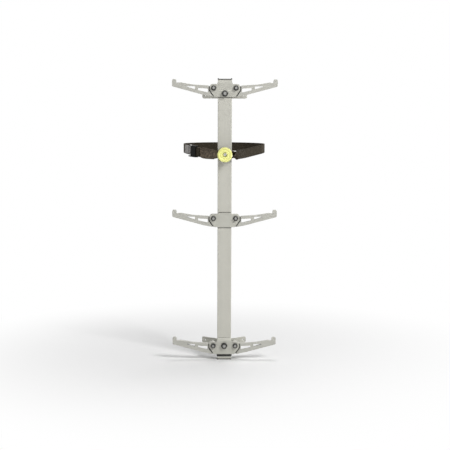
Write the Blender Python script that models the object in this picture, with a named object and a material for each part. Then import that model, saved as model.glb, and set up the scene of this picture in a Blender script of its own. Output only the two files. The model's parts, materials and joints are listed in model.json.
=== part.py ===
"""Climbing stick: a rectangular aluminium post with three pairs of folding steps.

Each bracket is a front and a back plate bolted across the post. Two steps turn on
the bracket's pivot bolts, and their heels stop against the post's sides. Two V
standoffs bear on the tree. A webbing strap loops over a button on the post's front,
goes round the tree and is held by a cam buckle.

Metres, +Z up the post, +Y towards the tree. The origin lies midway between the
bearing tips of the lower standoff, level with the lower pivots.
"""

import math

import bmesh
import bpy
from mathutils import Matrix, Vector
from mathutils.geometry import tessellate_polygon

# ---------------------------------------------------------------- clearances
GAP = 0.0003            # between seated pieces
BORE_CLEARANCE = 0.0003  # radial, round every bolt, pin and sleeve

# ---------------------------------------------------------------- post
POST_WIDTH = 0.0405
POST_DEPTH = 0.019
POST_WALL = 0.002
POST_CORNER = 0.0025
POST_LENGTH = 0.8122
POST_BELOW_PIVOT = 0.040
POST_ABOVE_PIVOT = 0.0242
CAP_FLANGE = 0.0016
CAP_PLUG_LENGTH = 0.014
CAP_OVERHANG = 0.0006
CAP_EAR_WIDTH = 0.0032
CAP_EAR_HEIGHT = 0.0016
CAP_EAR_INSET = 0.0003   # from the flange's side
BAND_HEIGHT = 0.0058
BAND_THICKNESS = 0.0012
HEEL_CLEARANCE = 0.0009  # the step heels swing past the band

# ---------------------------------------------------------------- bracket plates
PLATE_THICKNESS = 0.004
PIVOT_OFFSET = 0.032     # pivot axis from the post's centreline
PLATE_MARGIN = 0.0115    # plate edge round the pivot axis
PLATE_SHOULDER = 0.006   # vertical side ends this far below the pivot
PLATE_DROP = 0.0255      # lower edge below the pivot
PLATE_FOOT_WIDTH = 0.059
TAB_WIDTH = 0.0385
TAB_HEIGHT = 0.0045
END_TAB_HEIGHT = 0.011   # on the lower and upper brackets, sloped above TAB_HEIGHT
TAB_TOP_THICKNESS = 0.0008
TOP_CENTRE_BOLT_DROP = 0.0156

# ---------------------------------------------------------------- standoffs
STANDOFF_THICKNESS = 0.003
STANDOFF_HEIGHT = 0.028
STANDOFF_WEB_WIDTH = 0.024
STANDOFF_SPREAD = 0.128
STANDOFF_RISE = 0.036    # tips lie this far in front of the web
STANDOFF_HOLE = 0.005
STANDOFF_HOLE_INSET = 0.0111
WING_END_MARGIN = 0.001  # the wings end this far beyond the bearing edges
WING_NARROWING = (0.021, 0.043)  # where the wings narrow, from the middle
WING_TIP_HEIGHT = 0.018
WING_CORNER = 0.005

# ---------------------------------------------------------------- steps
STEP_REACH = 0.119
STEP_PLAY = 0.0003       # each side, between step and plates
STEP_BODY_DEPTH = 0.010  # from the front plate's face back
HOOK_THICKNESS = 0.0125
HOOK_TOP = 0.025
HOOK_FOOT = 0.0147
HOOK_CORNER = 0.0052
HUMP_REACH = 0.0945
HUMP_TOP = 0.0158
TREAD_REACH = 0.0588
TREAD_TOP = 0.0098
TREAD_ROOT_TOP = 0.0072
STEP_NOSE_BOTTOM = 0.0043
STEP_BELLY_REACH = 0.054
STEP_BELLY_DROP = 0.013
STEP_BEND_REACH = 0.029  # where the lower edge turns up
STEP_BEND_DROP = 0.0198
STEP_ROOT_DROP = 0.0252
ROOT_RADIUS = 0.0107     # round the pivot, less than the post's distance
SHOULDER_GAP = 0.003     # between the plates' edges and the step's body
TONGUE_INSET = 0.0004    # the tongue's lower edge lies this far above the body's
INNER_SLOT = (0.0167, 0.0446)
OUTER_SLOT = (0.0536, 0.077)
SLOT_LAND = 0.009        # metal left above and below the inner slot
OUTER_SLOT_TOP = 0.0046
OUTER_SLOT_HEIGHT = 0.0081
SLOT_CORNER = 0.0012

# ---------------------------------------------------------------- fasteners
PIVOT_BOLT = 0.008
PIVOT_NUT_FLATS = 0.013
PIVOT_NUT_HEIGHT = 0.0078
PIVOT_HEAD = 0.0138
PIVOT_HEAD_HEIGHT = 0.0044
BUSHING_WALL = 0.0017
CENTRE_BOLT = 0.010
CENTRE_NUT_FLATS = 0.016
CENTRE_NUT_HEIGHT = 0.0088
CENTRE_HEAD = 0.020
CENTRE_HEAD_HEIGHT = 0.005
BOLT_TIP = 0.0014        # bolt end past its nut

# ---------------------------------------------------------------- strap button
BUTTON_HEIGHT = 0.559    # above the lower pivots
BUTTON_DIAMETER = 0.0425
BUTTON_THICKNESS = 0.010
BUTTON_EDGE = 0.003
BUTTON_GROOVE_RADIUS = 0.0136
BUTTON_GROOVE_DEPTH = 0.0008
BUTTON_COUNTERBORE = 0.0135
BUTTON_COUNTERBORE_DEPTH = 0.006
HUB_DIAMETER = 0.024
HUB_LENGTH = 0.0295
BUTTON_SCREW = 0.006
BUTTON_SCREW_HEAD = 0.0105
BUTTON_SCREW_HEAD_HEIGHT = 0.0036
BUTTON_NUT_FLATS = 0.010
BUTTON_NUT_HEIGHT = 0.005

# ---------------------------------------------------------------- strap
TREE_RADIUS = 0.1205
WEB_WIDTH = 0.0254
WEB_THICKNESS = 0.0019
FOLDED_WIDTH = 0.0127    # the end loops are folded in half round the hub
LEG_STRAIGHT = 0.020     # from the hub's axis to the bend past the post
BEND_RADIUS = 0.018
LOOP_END = 0.002         # the legs start to close here, from the hub's axis
LONG_TWIST = (0.017, 0.040)
LONG_MERGE = 0.046       # where the two legs of a loop meet
SHORT_TWIST = (0.013, 0.030)
SHORT_CLOSE = (0.008, 0.031)
SHORT_NECK = 0.0008      # the short legs' least distance from the middle
SHORT_FAN = 0.0022       # their distance where they fan out again
SHORT_FAN_END = 0.084
SHORT_MERGE = 0.100
SEWN_LENGTH = 0.085      # end of the sewn overlap, from the hub's axis
STRAP_RISE = 0.012       # the strap climbs this far to the back of the tree
RISE_LENGTH = 0.200
TAIL_END = 0.100         # the free tail stops here, from the hub's axis
TAIL_LIFT = 0.0005       # gap between the tail and the short strap's front layer

# ---------------------------------------------------------------- cam buckle
BUCKLE_WIDTH = 0.033
BUCKLE_SHEET = 0.0016
BUCKLE_NEAR = 0.026      # pin to the end with the strap bar
BUCKLE_FAR = 0.013
BUCKLE_DISTANCE = 0.106  # pin, along the straight run, past the bend
BAR_LENGTH = 0.004
SLOT_LENGTH = 0.006
EAR_NEAR = 0.025
EAR_FAR = 0.010
EAR_HEIGHT = 0.0142
GUARD_START = 0.008      # pin to the strap guard between the ears
GUARD_END_HEIGHT = 0.0098
CAM_PIN = 0.004
CAM_PIN_HEIGHT = 0.0095
CAM_PIN_HEAD = 0.0065
CAM_PIN_HEAD_HEIGHT = 0.0010
LEVER_LENGTH = 0.031
LEVER_THICKNESS = 0.0036
CAM_NOSE = 0.0053
SPRING_WIRE = 0.0009
SPRING_TURNS = 3
SPRING_PITCH = 0.0012

# ---------------------------------------------------------------- mesh detail
ROUND_SIDES = 16
BUTTON_SIDES = 24
NUT_SIDES = 12           # a multiple of six
ARC_STEP = math.radians(18)

# ---------------------------------------------------------------- places along Y
TIP_Y = 0.0
WEB_BACK_Y = TIP_Y - STANDOFF_RISE
WEB_FRONT_Y = WEB_BACK_Y - STANDOFF_THICKNESS
BACK_PLATE_Y = WEB_FRONT_Y - GAP
POST_BACK_Y = BACK_PLATE_Y - PLATE_THICKNESS - GAP
POST_FRONT_Y = POST_BACK_Y - POST_DEPTH
FRONT_PLATE_Y = POST_FRONT_Y - GAP
PLATE_FACE_Y = FRONT_PLATE_Y - PLATE_THICKNESS
NUT_SEAT_Y = PLATE_FACE_Y - GAP
POST_CENTRE_Y = (POST_BACK_Y + POST_FRONT_Y) / 2
HUB_BACK_Y = POST_FRONT_Y - GAP
HUB_FRONT_Y = HUB_BACK_Y - HUB_LENGTH
CAP_BACK_Y = HUB_FRONT_Y - GAP
CAP_FACE_Y = CAP_BACK_Y - BUTTON_THICKNESS

# ---------------------------------------------------------------- heights
BRACKET_SPACING = (POST_LENGTH - POST_BELOW_PIVOT - POST_ABOVE_PIVOT) / 2
LEVELS = {"lower": 0.0, "middle": BRACKET_SPACING, "upper": 2 * BRACKET_SPACING}
CENTRE_BOLT_LEVELS = {"lower": 0.0, "upper": LEVELS["upper"] - TOP_CENTRE_BOLT_DROP}
POST_BOTTOM = -POST_BELOW_PIVOT
POST_TOP = LEVELS["upper"] + POST_ABOVE_PIVOT
SIDES = {"left": -1, "right": 1}


# ================================================================ materials
def material(name, colour, roughness, metallic):
    """A Principled BSDF material, made once and then reused."""
    found = bpy.data.materials.get(name)
    if found:
        return found
    made = bpy.data.materials.new(name)
    made.use_nodes = True
    shader = made.node_tree.nodes["Principled BSDF"]
    shader.inputs["Base Color"].default_value = (*colour, 1)
    shader.inputs["Roughness"].default_value = roughness
    shader.inputs["Metallic"].default_value = metallic
    return made


def coated_aluminium():
    return material("coated_aluminium", (0.48, 0.48, 0.43), 0.45, 0.5)


def zinc_steel():
    return material("zinc_steel", (0.55, 0.55, 0.53), 0.35, 1.0)


def black_steel():
    return material("black_steel", (0.02, 0.02, 0.02), 0.45, 0.6)


def black_plastic():
    return material("black_plastic", (0.015, 0.015, 0.015), 0.55, 0.0)


def black_rubber():
    return material("black_rubber", (0.008, 0.008, 0.008), 0.8, 0.0)


def yellow_plastic():
    return material("yellow_plastic", (0.86, 0.82, 0.12), 0.4, 0.0)


def nylon():
    return material("nylon", (0.7, 0.68, 0.62), 0.5, 0.0)


def webbing():
    return material("webbing", (0.035, 0.035, 0.03), 0.85, 0.0)


# ================================================================ mesh building
def add_object(name, bm, finish, parent=None):
    """Store a bmesh as a named object with smooth round sides and outward faces."""
    bmesh.ops.recalc_face_normals(bm, faces=bm.faces)
    mesh = bpy.data.meshes.new(name)
    bm.to_mesh(mesh)
    bm.free()
    mesh.shade_smooth()
    mesh.set_sharp_from_angle(angle=math.radians(35))
    obj = bpy.data.objects.new(name, mesh)
    bpy.context.scene.collection.objects.link(obj)
    if finish:
        mesh.materials.append(finish)
    obj.parent = parent
    return obj


def add_empty(name, location, rotation=None):
    """An axis or a frame that pieces are parented to."""
    empty = bpy.data.objects.new(name, None)
    bpy.context.scene.collection.objects.link(empty)
    empty.location = location
    if rotation:
        empty.rotation_euler = rotation.to_euler()
    return empty


def carve(obj, cutter, operation="DIFFERENCE"):
    """Cut a helper out of an object, or join it on, with a Boolean modifier."""
    cutter.hide_render = True
    cutter.display_type = "WIRE"
    cutter.parent = obj.parent
    boolean = obj.modifiers.new(cutter.name, "BOOLEAN")
    boolean.operation = operation
    boolean.object = cutter


def rounded(corners):
    """A closed outline from (u, v, radius) corners, each rounded by an arc."""
    points = []
    count = len(corners)
    for i, (u, v, radius) in enumerate(corners):
        here = Vector((u, v))
        before = Vector(corners[i - 1][:2]) - here
        after = Vector(corners[(i + 1) % count][:2]) - here
        if radius <= 0:
            points.append(here)
            continue
        half = before.angle(after) / 2
        reach = min(radius / math.tan(half), 0.49 * before.length, 0.49 * after.length)
        radius = reach * math.tan(half)
        centre = here + (before.normalized() + after.normalized()).normalized() * (
            radius / math.sin(half)
        )
        start = here + before.normalized() * reach - centre
        turn = math.pi - 2 * half
        turn = turn if before.cross(after) < 0 else -turn
        steps = max(1, round(abs(turn) / ARC_STEP))
        points += [
            centre + Matrix.Rotation(turn * k / steps, 2) @ start for k in range(steps + 1)
        ]
    return points


def handed(outline, sign):
    """The outline as it is, or mirrored for the left-hand side."""
    if sign > 0:
        return outline
    return [Vector((-p.x, p.y)) for p in reversed(outline)]


def circle(centre, radius, sides=ROUND_SIDES):
    """A regular outline round a centre."""
    return [
        Vector(centre) + radius * Vector((math.cos(a), math.sin(a)))
        for a in (math.tau * k / sides for k in range(sides))
    ]


def sheet_solid(name, outlines, start, end, place, finish, parent=None):
    """Extrude a filled outline with holes between two offsets.

    `outlines` holds the outer outline and then its holes, as 2-D points. `place`
    turns (u, v, offset) into a 3-D point.
    """
    bm = bmesh.new()
    flat = [point for outline in outlines for point in outline]
    low = [bm.verts.new(place(p.x, p.y, start)) for p in flat]
    high = [bm.verts.new(place(p.x, p.y, end)) for p in flat]
    loops = [[Vector((p.x, p.y, 0)) for p in outline] for outline in outlines]
    for triangle in tessellate_polygon(loops):
        bm.faces.new([low[i] for i in triangle])
        bm.faces.new([high[i] for i in triangle])
    first = 0
    for outline in outlines:
        count = len(outline)
        for k in range(count):
            a, b = first + k, first + (k + 1) % count
            bm.faces.new((low[a], low[b], high[b], high[a]))
        first += count
    return add_object(name, bm, finish, parent)


def loft(name, sections, finish, parent=None, ring=True):
    """Skin a list of equal point loops.

    With `ring` the last section joins the first. Otherwise both ends are capped.
    """
    bm = bmesh.new()
    rows = [[bm.verts.new(point) for point in section] for section in sections]
    pairs = len(rows) if ring else len(rows) - 1
    sides = len(rows[0])
    for i in range(pairs):
        low, high = rows[i], rows[(i + 1) % len(rows)]
        for k in range(sides):
            m = (k + 1) % sides
            bm.faces.new((low[k], low[m], high[m], high[k]))
    if not ring:
        bm.faces.new(rows[0])
        bm.faces.new(list(reversed(rows[-1])))
    return add_object(name, bm, finish, parent)


def turned(name, profile, finish, parent=None, sides=ROUND_SIDES):
    """Turn a closed (radius, y) profile round the Y axis.

    A point at radius 0 becomes a pole.
    """
    bm = bmesh.new()
    rows = []
    for radius, y in profile:
        if radius == 0:
            rows.append([bm.verts.new((0, y, 0))])
            continue
        rows.append([bm.verts.new((p.x, y, p.y)) for p in circle((0, 0), radius, sides)])
    for i, low in enumerate(rows):
        high = rows[(i + 1) % len(rows)]
        if len(low) == 1 and len(high) == 1:
            continue
        for k in range(sides):
            m = (k + 1) % sides
            if len(low) == 1:
                bm.faces.new((low[0], high[m], high[k]))
            elif len(high) == 1:
                bm.faces.new((low[k], low[m], high[0]))
            else:
                bm.faces.new((low[k], low[m], high[m], high[k]))
    return add_object(name, bm, finish, parent)


def front_view(u, v, offset):
    """Outlines drawn in the XZ plane, extruded along Y."""
    return (u, offset, v)


def plan_view(u, v, offset):
    """Outlines drawn in the XY plane, extruded along Z."""
    return (u, v, offset)


def side_view(u, v, offset):
    """Outlines drawn in the YZ plane, extruded along X."""
    return (offset, u, v)


def bore_cutter(name, radius, start, end, centre):
    """A round cutter along Y."""
    x, z = centre
    return sheet_solid(name, [circle((x, z), radius)], start, end, front_view, None)


# ================================================================ post
def box_outline(width, depth, radius, centre_y=POST_CENTRE_Y):
    """A rounded rectangle in plan, centred on the post."""
    x, y = width / 2, depth / 2
    return rounded(
        [
            (-x, centre_y - y, radius),
            (x, centre_y - y, radius),
            (x, centre_y + y, radius),
            (-x, centre_y + y, radius),
        ]
    )


def build_post():
    """The rectangular tube, with its bolt holes and the button's screw hole."""
    inner_width = POST_WIDTH - 2 * POST_WALL
    inner_depth = POST_DEPTH - 2 * POST_WALL
    inner_corner = max(POST_CORNER - POST_WALL, 0.0005)
    post = sheet_solid(
        "post",
        [
            box_outline(POST_WIDTH, POST_DEPTH, POST_CORNER),
            box_outline(inner_width, inner_depth, inner_corner),
        ],
        POST_BOTTOM,
        POST_TOP,
        plan_view,
        coated_aluminium(),
    )
    through = (POST_FRONT_Y - PLATE_THICKNESS, POST_BACK_Y + PLATE_THICKNESS)
    for level, z in CENTRE_BOLT_LEVELS.items():
        radius = CENTRE_BOLT / 2 + BORE_CLEARANCE
        carve(post, bore_cutter(f"cut_post_{level}", radius, *through, (0, z)))
    screw_radius = BUTTON_SCREW / 2 + BORE_CLEARANCE
    front_wall = (POST_FRONT_Y - POST_WALL, POST_FRONT_Y + 2 * POST_WALL)
    carve(
        post, bore_cutter("cut_post_button", screw_radius, *front_wall, (0, BUTTON_HEIGHT))
    )


def end_cap(name, end_z, outward):
    """A plastic plug with a thin flange over the post's end."""
    plug_width = POST_WIDTH - 2 * POST_WALL - 2 * GAP
    plug_depth = POST_DEPTH - 2 * POST_WALL - 2 * GAP
    plug_corner = max(POST_CORNER - POST_WALL, 0.0005)
    seat = end_z + outward * GAP
    cap = sheet_solid(
        name,
        [box_outline(plug_width, plug_depth, plug_corner)],
        seat + outward * CAP_FLANGE / 2,
        seat - outward * CAP_PLUG_LENGTH,
        plan_view,
        black_plastic(),
    )
    flange = box_outline(
        POST_WIDTH + 2 * CAP_OVERHANG, POST_DEPTH + 2 * CAP_OVERHANG, POST_CORNER
    )
    top = seat + outward * CAP_FLANGE
    carve(cap, sheet_solid(f"join_{name}", [flange], seat, top, plan_view, None), "UNION")
    return cap, top


def build_end_caps():
    """Both end plugs. The upper one has a raised ear at each side."""
    end_cap("bottom_end_cap", POST_BOTTOM, -1)
    cap, top = end_cap("top_end_cap", POST_TOP, 1)
    side = POST_WIDTH / 2 + CAP_OVERHANG - CAP_EAR_INSET
    for label, sign in SIDES.items():
        ear = box_outline(CAP_EAR_WIDTH, POST_DEPTH, CAP_EAR_WIDTH / 4)
        centre = sign * (side - CAP_EAR_WIDTH / 2)
        ear = [Vector((p.x + centre, p.y)) for p in ear]
        joined = sheet_solid(
            f"join_ear_{label}",
            [ear],
            top - CAP_FLANGE / 2,
            top + CAP_EAR_HEIGHT,
            plan_view,
            None,
        )
        carve(cap, joined, "UNION")


def build_band():
    """The rubber band round the post, just under the lower bracket."""
    inside = (POST_WIDTH + 2 * GAP, POST_DEPTH + 2 * GAP)
    outside = [size + 2 * BAND_THICKNESS for size in inside]
    top = -max(PLATE_DROP, STEP_ROOT_DROP) - HEEL_CLEARANCE
    sheet_solid(
        "post_band",
        [
            box_outline(*outside, POST_CORNER + GAP + BAND_THICKNESS),
            box_outline(*inside, POST_CORNER + GAP),
        ],
        top,
        top - BAND_HEIGHT,
        plan_view,
        black_rubber(),
    )


# ================================================================ brackets
def plate_outline(z, tab_height):
    """Outline of a bracket plate: round shoulders, tapered foot, and a tab or none."""
    side = PIVOT_OFFSET + PLATE_MARGIN
    foot = PLATE_FOOT_WIDTH / 2
    corners = [
        (-foot, z - PLATE_DROP, 0.003),
        (foot, z - PLATE_DROP, 0.003),
        (side, z - PLATE_SHOULDER, 0.006),
        (side, z + PLATE_MARGIN, PLATE_MARGIN),
    ]
    if tab_height:
        half = TAB_WIDTH / 2
        top = z + PLATE_MARGIN + tab_height
        corners += [
            (half + 0.003, z + PLATE_MARGIN, 0),
            (half, top, 0.0015),
            (-half, top, 0.0015),
            (-half - 0.003, z + PLATE_MARGIN, 0),
        ]
    corners += [
        (-side, z + PLATE_MARGIN, PLATE_MARGIN),
        (-side, z - PLATE_SHOULDER, 0.006),
    ]
    return rounded(corners)


def tab_slope(level, z):
    """Cutter that slopes the face of an end bracket's tab back to the post."""
    low = Vector((PLATE_FACE_Y, z + PLATE_MARGIN + TAB_HEIGHT))
    high = Vector((FRONT_PLATE_Y - TAB_TOP_THICKNESS, z + PLATE_MARGIN + END_TAB_HEIGHT))
    along = (high - low).normalized() * PLATE_THICKNESS
    away = Vector((-along.y, along.x)) * 2
    outline = [low - along, high + along, high + along + away, low - along + away]
    width = TAB_WIDTH
    return sheet_solid(f"cut_tab_{level}", [outline], -width, width, side_view, None)


def build_plates():
    """A front and a back plate at each level, with their bolt holes."""
    pivot_hole = PIVOT_BOLT / 2 + BORE_CLEARANCE
    centre_hole = CENTRE_BOLT / 2 + BORE_CLEARANCE
    for level, z in LEVELS.items():
        holes = [circle((sign * PIVOT_OFFSET, z), pivot_hole) for sign in SIDES.values()]
        if level in CENTRE_BOLT_LEVELS:
            holes.append(circle((0, CENTRE_BOLT_LEVELS[level]), centre_hole))
        tab = END_TAB_HEIGHT if level in CENTRE_BOLT_LEVELS else TAB_HEIGHT
        for face, rear in (("front", FRONT_PLATE_Y), ("back", BACK_PLATE_Y)):
            plate = sheet_solid(
                f"{level}_{face}_plate",
                [plate_outline(z, tab if face == "front" else 0), *holes],
                rear,
                rear - PLATE_THICKNESS,
                front_view,
                coated_aluminium(),
            )
            if face == "front" and tab > TAB_HEIGHT:
                carve(plate, tab_slope(level, z))


def standoff_outline():
    """The V bracket in plan: a flat web and two wings that lean to the tree."""
    web = STANDOFF_WEB_WIDTH / 2
    tip = STANDOFF_SPREAD / 2
    wing = Vector((tip - web, STANDOFF_RISE)).normalized()
    inward = Vector((wing.y, -wing.x)) * STANDOFF_THICKNESS
    # The front face's bend is where the web's and the wing's offset faces cross.
    bend = web + STANDOFF_THICKNESS * math.tan(math.atan2(wing.y, wing.x) / 2)
    right = [
        Vector((bend, WEB_FRONT_Y)),
        Vector((tip, TIP_Y)) + inward,
        Vector((tip, TIP_Y)),
        Vector((web, WEB_BACK_Y)),
    ]
    left = [Vector((-p.x, p.y)) for p in reversed(right)]
    return right + left


def wing_profile(z, side):
    """Front outline of a standoff: its wings keep the edge on one side as they narrow.

    `side` is 1 where that edge is the upper one, and -1 where it is the lower one.
    """
    end = STANDOFF_SPREAD / 2 + WING_END_MARGIN
    kept = z + side * STANDOFF_HEIGHT / 2
    far = z - side * STANDOFF_HEIGHT / 2
    near = kept - side * WING_TIP_HEIGHT
    start, stop = WING_NARROWING
    half = [(start, far, 0.010), (stop, near, 0.010)]
    half += [(end, near, WING_CORNER), (end, kept, WING_CORNER)]
    return rounded(half + [(-x, height, radius) for x, height, radius in reversed(half)])


def build_standoffs():
    """Upper and lower standoff, each on its bracket's centre bolt."""
    web = STANDOFF_WEB_WIDTH / 2
    tip = STANDOFF_SPREAD / 2
    lean = math.atan2(STANDOFF_RISE, tip - web)
    for level, z in CENTRE_BOLT_LEVELS.items():
        standoff = sheet_solid(
            f"{level}_standoff",
            [standoff_outline()],
            z - STANDOFF_HEIGHT,
            z + STANDOFF_HEIGHT,
            plan_view,
            coated_aluminium(),
        )
        reach = (WEB_FRONT_Y - STANDOFF_THICKNESS, TIP_Y + STANDOFF_THICKNESS)
        side = -1 if z > LEVELS["middle"] else 1
        profile = wing_profile(z, side)
        shape = sheet_solid(f"keep_{level}", [profile], *reach, front_view, None)
        carve(standoff, shape, "INTERSECT")
        hole = CENTRE_BOLT / 2 + BORE_CLEARANCE
        reach = (WEB_FRONT_Y - STANDOFF_THICKNESS, WEB_BACK_Y + STANDOFF_THICKNESS)
        carve(standoff, bore_cutter(f"cut_web_{level}", hole, *reach, (0, z)))
        for label, sign in SIDES.items():
            cutter = sheet_solid(
                f"cut_wing_{level}_{label}",
                [circle((0, 0), STANDOFF_HOLE / 2)],
                -2 * STANDOFF_THICKNESS,
                2 * STANDOFF_THICKNESS,
                front_view,
                None,
            )
            inset = STANDOFF_HOLE_INSET
            place = Vector(
                (
                    sign * (tip - inset * math.cos(lean)),
                    TIP_Y - inset * math.sin(lean),
                    z + side * (STANDOFF_HEIGHT - WING_TIP_HEIGHT) / 2,
                )
            )
            cutter.location = place
            cutter.rotation_euler = (0, 0, sign * lean)
            carve(standoff, cutter)


# ================================================================ steps
def belly_slope():
    """Rise per metre from the step's root to its belly, under the inner slot."""
    return (STEP_ROOT_DROP - STEP_BELLY_DROP) / STEP_BELLY_REACH


def tongue_outline():
    """The step's root between the plates, from its pivot, for the right-hand side."""
    heel = PIVOT_OFFSET - POST_WIDTH / 2 - GAP
    bottom = -STEP_ROOT_DROP + TONGUE_INSET
    end = (PLATE_MARGIN + SHOULDER_GAP + INNER_SLOT[0]) / 2
    lower = rounded(
        [
            (-heel, -ROOT_RADIUS * 0.4, 0),
            (-heel, bottom, 0.0015),
            (0, bottom, 0.006),
            (end, bottom + belly_slope() * end, 0),
            (end, TREAD_ROOT_TOP / 2, 0),
        ]
    )
    # The root's top is round about the pivot, so that it clears the post as it folds.
    root = [
        ROOT_RADIUS * Vector((math.cos(a), math.sin(a)))
        for a in (math.radians(60 + 20 * k) for k in range(7))
    ]
    return lower + root


def body_outline():
    """The step's body from its pivot, for the right-hand side.

    Its inner edge follows the plates' sides, a shoulder gap away.
    """
    low = Vector((PLATE_FOOT_WIDTH / 2 - PIVOT_OFFSET, -PLATE_DROP))
    high = Vector((PLATE_MARGIN, -PLATE_SHOULDER))
    along = (high - low).normalized()
    edge = high + SHOULDER_GAP * Vector((along.y, -along.x))
    shoulder = PLATE_MARGIN + SHOULDER_GAP
    bend = edge + along * ((shoulder - edge.x) / along.x)
    foot = edge + along * ((-STEP_ROOT_DROP - edge.y) / along.y)
    return rounded(
        [
            (*foot, 0.001),
            (STEP_BEND_REACH, -STEP_BEND_DROP, 0.030),
            (STEP_BELLY_REACH, -STEP_BELLY_DROP, 0.060),
            (STEP_REACH, STEP_NOSE_BOTTOM, 0.004),
            (STEP_REACH, HOOK_TOP, HOOK_CORNER),
            (STEP_REACH - HOOK_THICKNESS, HOOK_TOP, HOOK_CORNER),
            (STEP_REACH - HOOK_THICKNESS, HOOK_FOOT, 0.0012),
            (HUMP_REACH, HUMP_TOP, 0.008),
            (TREAD_REACH, TREAD_TOP, 0.060),
            (shoulder, TREAD_ROOT_TOP, 0.0015),
            (*bend, 0.004),
        ]
    )


def slot_corners():
    """The two lightening slots, as corners of (u, v, radius)."""
    root = PLATE_MARGIN + SHOULDER_GAP
    rise = (TREAD_TOP - TREAD_ROOT_TOP) / (TREAD_REACH - root)
    inner = []
    for reach in INNER_SLOT:
        top = TREAD_ROOT_TOP + rise * (reach - root) - SLOT_LAND
        bottom = -STEP_ROOT_DROP + belly_slope() * reach + SLOT_LAND
        pair = [(reach, top, SLOT_CORNER), (reach, bottom, SLOT_CORNER)]
        inner += reversed(pair) if inner else pair
    wide, tip = OUTER_SLOT
    outer = [
        (wide, OUTER_SLOT_TOP, SLOT_CORNER),
        (wide, OUTER_SLOT_TOP - OUTER_SLOT_HEIGHT, SLOT_CORNER),
        (tip, OUTER_SLOT_TOP - SLOT_CORNER / 2, 0),
        (tip, OUTER_SLOT_TOP + SLOT_CORNER / 2, 0),
    ]
    return inner, outer


def build_steps():
    """Six hooked steps, each with its origin on its pivot's axis.

    A tongue between the plates carries a slimmer body, flush with the front plate.
    """
    bushing = PIVOT_BOLT / 2 + BORE_CLEARANCE + BUSHING_WALL
    near = POST_BACK_Y + GAP - STEP_PLAY
    far = POST_FRONT_Y - GAP + STEP_PLAY
    for level, z in LEVELS.items():
        for label, sign in SIDES.items():
            pivot = add_empty(f"{level}_{label}_pivot", (sign * PIVOT_OFFSET, 0, z))
            bore = circle((0, 0), bushing + BORE_CLEARANCE)
            step = sheet_solid(
                f"{level}_{label}_step",
                [handed(tongue_outline(), sign), bore],
                near,
                far,
                front_view,
                coated_aluminium(),
                pivot,
            )
            outlines = [handed(body_outline(), sign)]
            outlines += [handed(rounded(slot), sign) for slot in slot_corners()]
            body = sheet_solid(
                f"join_{level}_{label}_body",
                outlines,
                PLATE_FACE_Y + STEP_BODY_DEPTH,
                PLATE_FACE_Y,
                front_view,
                None,
            )
            carve(step, body, "UNION")


# ================================================================ fasteners
def bolt(name, shank, head, head_height, seat_y, tip_y, place, finish):
    """A round-headed bolt along Y, head towards the tree."""
    chamfer = shank * 0.08
    profile = [
        (0, tip_y),
        (shank / 2 - chamfer, tip_y),
        (shank / 2, tip_y + chamfer),
        (shank / 2, seat_y),
        (head / 2, seat_y),
        (head / 2, seat_y + head_height * 0.35),
        (head * 0.36, seat_y + head_height * 0.85),
        (head * 0.2, seat_y + head_height),
        (0, seat_y + head_height),
    ]
    made = turned(name, profile, finish)
    made.location = (place[0], 0, place[1])
    return made


def hexagon(flats, y, sides=NUT_SIDES):
    """A hexagon across the Y axis, sampled at equal angles."""
    points = []
    for k in range(sides):
        angle = math.tau * k / sides
        off = (angle + math.pi / 6) % (math.pi / 3) - math.pi / 6
        radius = flats / 2 / math.cos(off)
        points.append((radius * math.cos(angle), y, radius * math.sin(angle)))
    return points


def ring_section(radius, y, sides=NUT_SIDES):
    """A round section across the Y axis."""
    return [(p.x, y, p.y) for p in circle((0, 0), radius, sides)]


def lock_nut(name, bore, flats, height, seat_y, place, finish, collar=0.3):
    """A hexagon nut with a round collar for its locking ring, facing -Y."""
    hex_top = seat_y - height * (1 - collar)
    top = seat_y - height
    inside = bore / 2 + BORE_CLEARANCE
    sections = [
        hexagon(flats, seat_y),
        hexagon(flats, hex_top),
        ring_section(flats * 0.46, hex_top),
        ring_section(flats * 0.44, top),
        ring_section(inside, top),
        ring_section(inside, seat_y),
    ]
    made = loft(name, sections, finish)
    made.location = (place[0], 0, place[1])
    return made


def build_pivots():
    """Bolt, lock nut and bushing at each of the six step pivots."""
    seat = BACK_PLATE_Y + GAP
    tip = NUT_SEAT_Y - PIVOT_NUT_HEIGHT - BOLT_TIP
    inside = PIVOT_BOLT / 2 + BORE_CLEARANCE
    outside = inside + BUSHING_WALL
    for level, z in LEVELS.items():
        for label, sign in SIDES.items():
            name = f"{level}_{label}_pivot"
            place = (sign * PIVOT_OFFSET, z)
            bolt(
                f"{name}_bolt",
                PIVOT_BOLT,
                PIVOT_HEAD,
                PIVOT_HEAD_HEIGHT,
                seat,
                tip,
                place,
                zinc_steel(),
            )
            lock_nut(
                f"{name}_nut",
                PIVOT_BOLT,
                PIVOT_NUT_FLATS,
                PIVOT_NUT_HEIGHT,
                NUT_SEAT_Y,
                place,
                black_steel(),
            )
            bushing = turned(
                f"{name}_bushing",
                [
                    (inside, POST_BACK_Y),
                    (inside, POST_FRONT_Y),
                    (outside, POST_FRONT_Y),
                    (outside, POST_BACK_Y),
                ],
                nylon(),
            )
            bushing.location = (place[0], 0, place[1])


def build_centre_bolts():
    """The bolts that clamp plates, post and standoff together."""
    seat = WEB_BACK_Y + GAP
    tip = NUT_SEAT_Y - CENTRE_NUT_HEIGHT - BOLT_TIP
    for level, z in CENTRE_BOLT_LEVELS.items():
        bolt(
            f"{level}_centre_bolt",
            CENTRE_BOLT,
            CENTRE_HEAD,
            CENTRE_HEAD_HEIGHT,
            seat,
            tip,
            (0, z),
            zinc_steel(),
        )
        lock_nut(
            f"{level}_centre_nut",
            CENTRE_BOLT,
            CENTRE_NUT_FLATS,
            CENTRE_NUT_HEIGHT,
            NUT_SEAT_Y,
            (0, z),
            black_steel(),
        )


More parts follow.
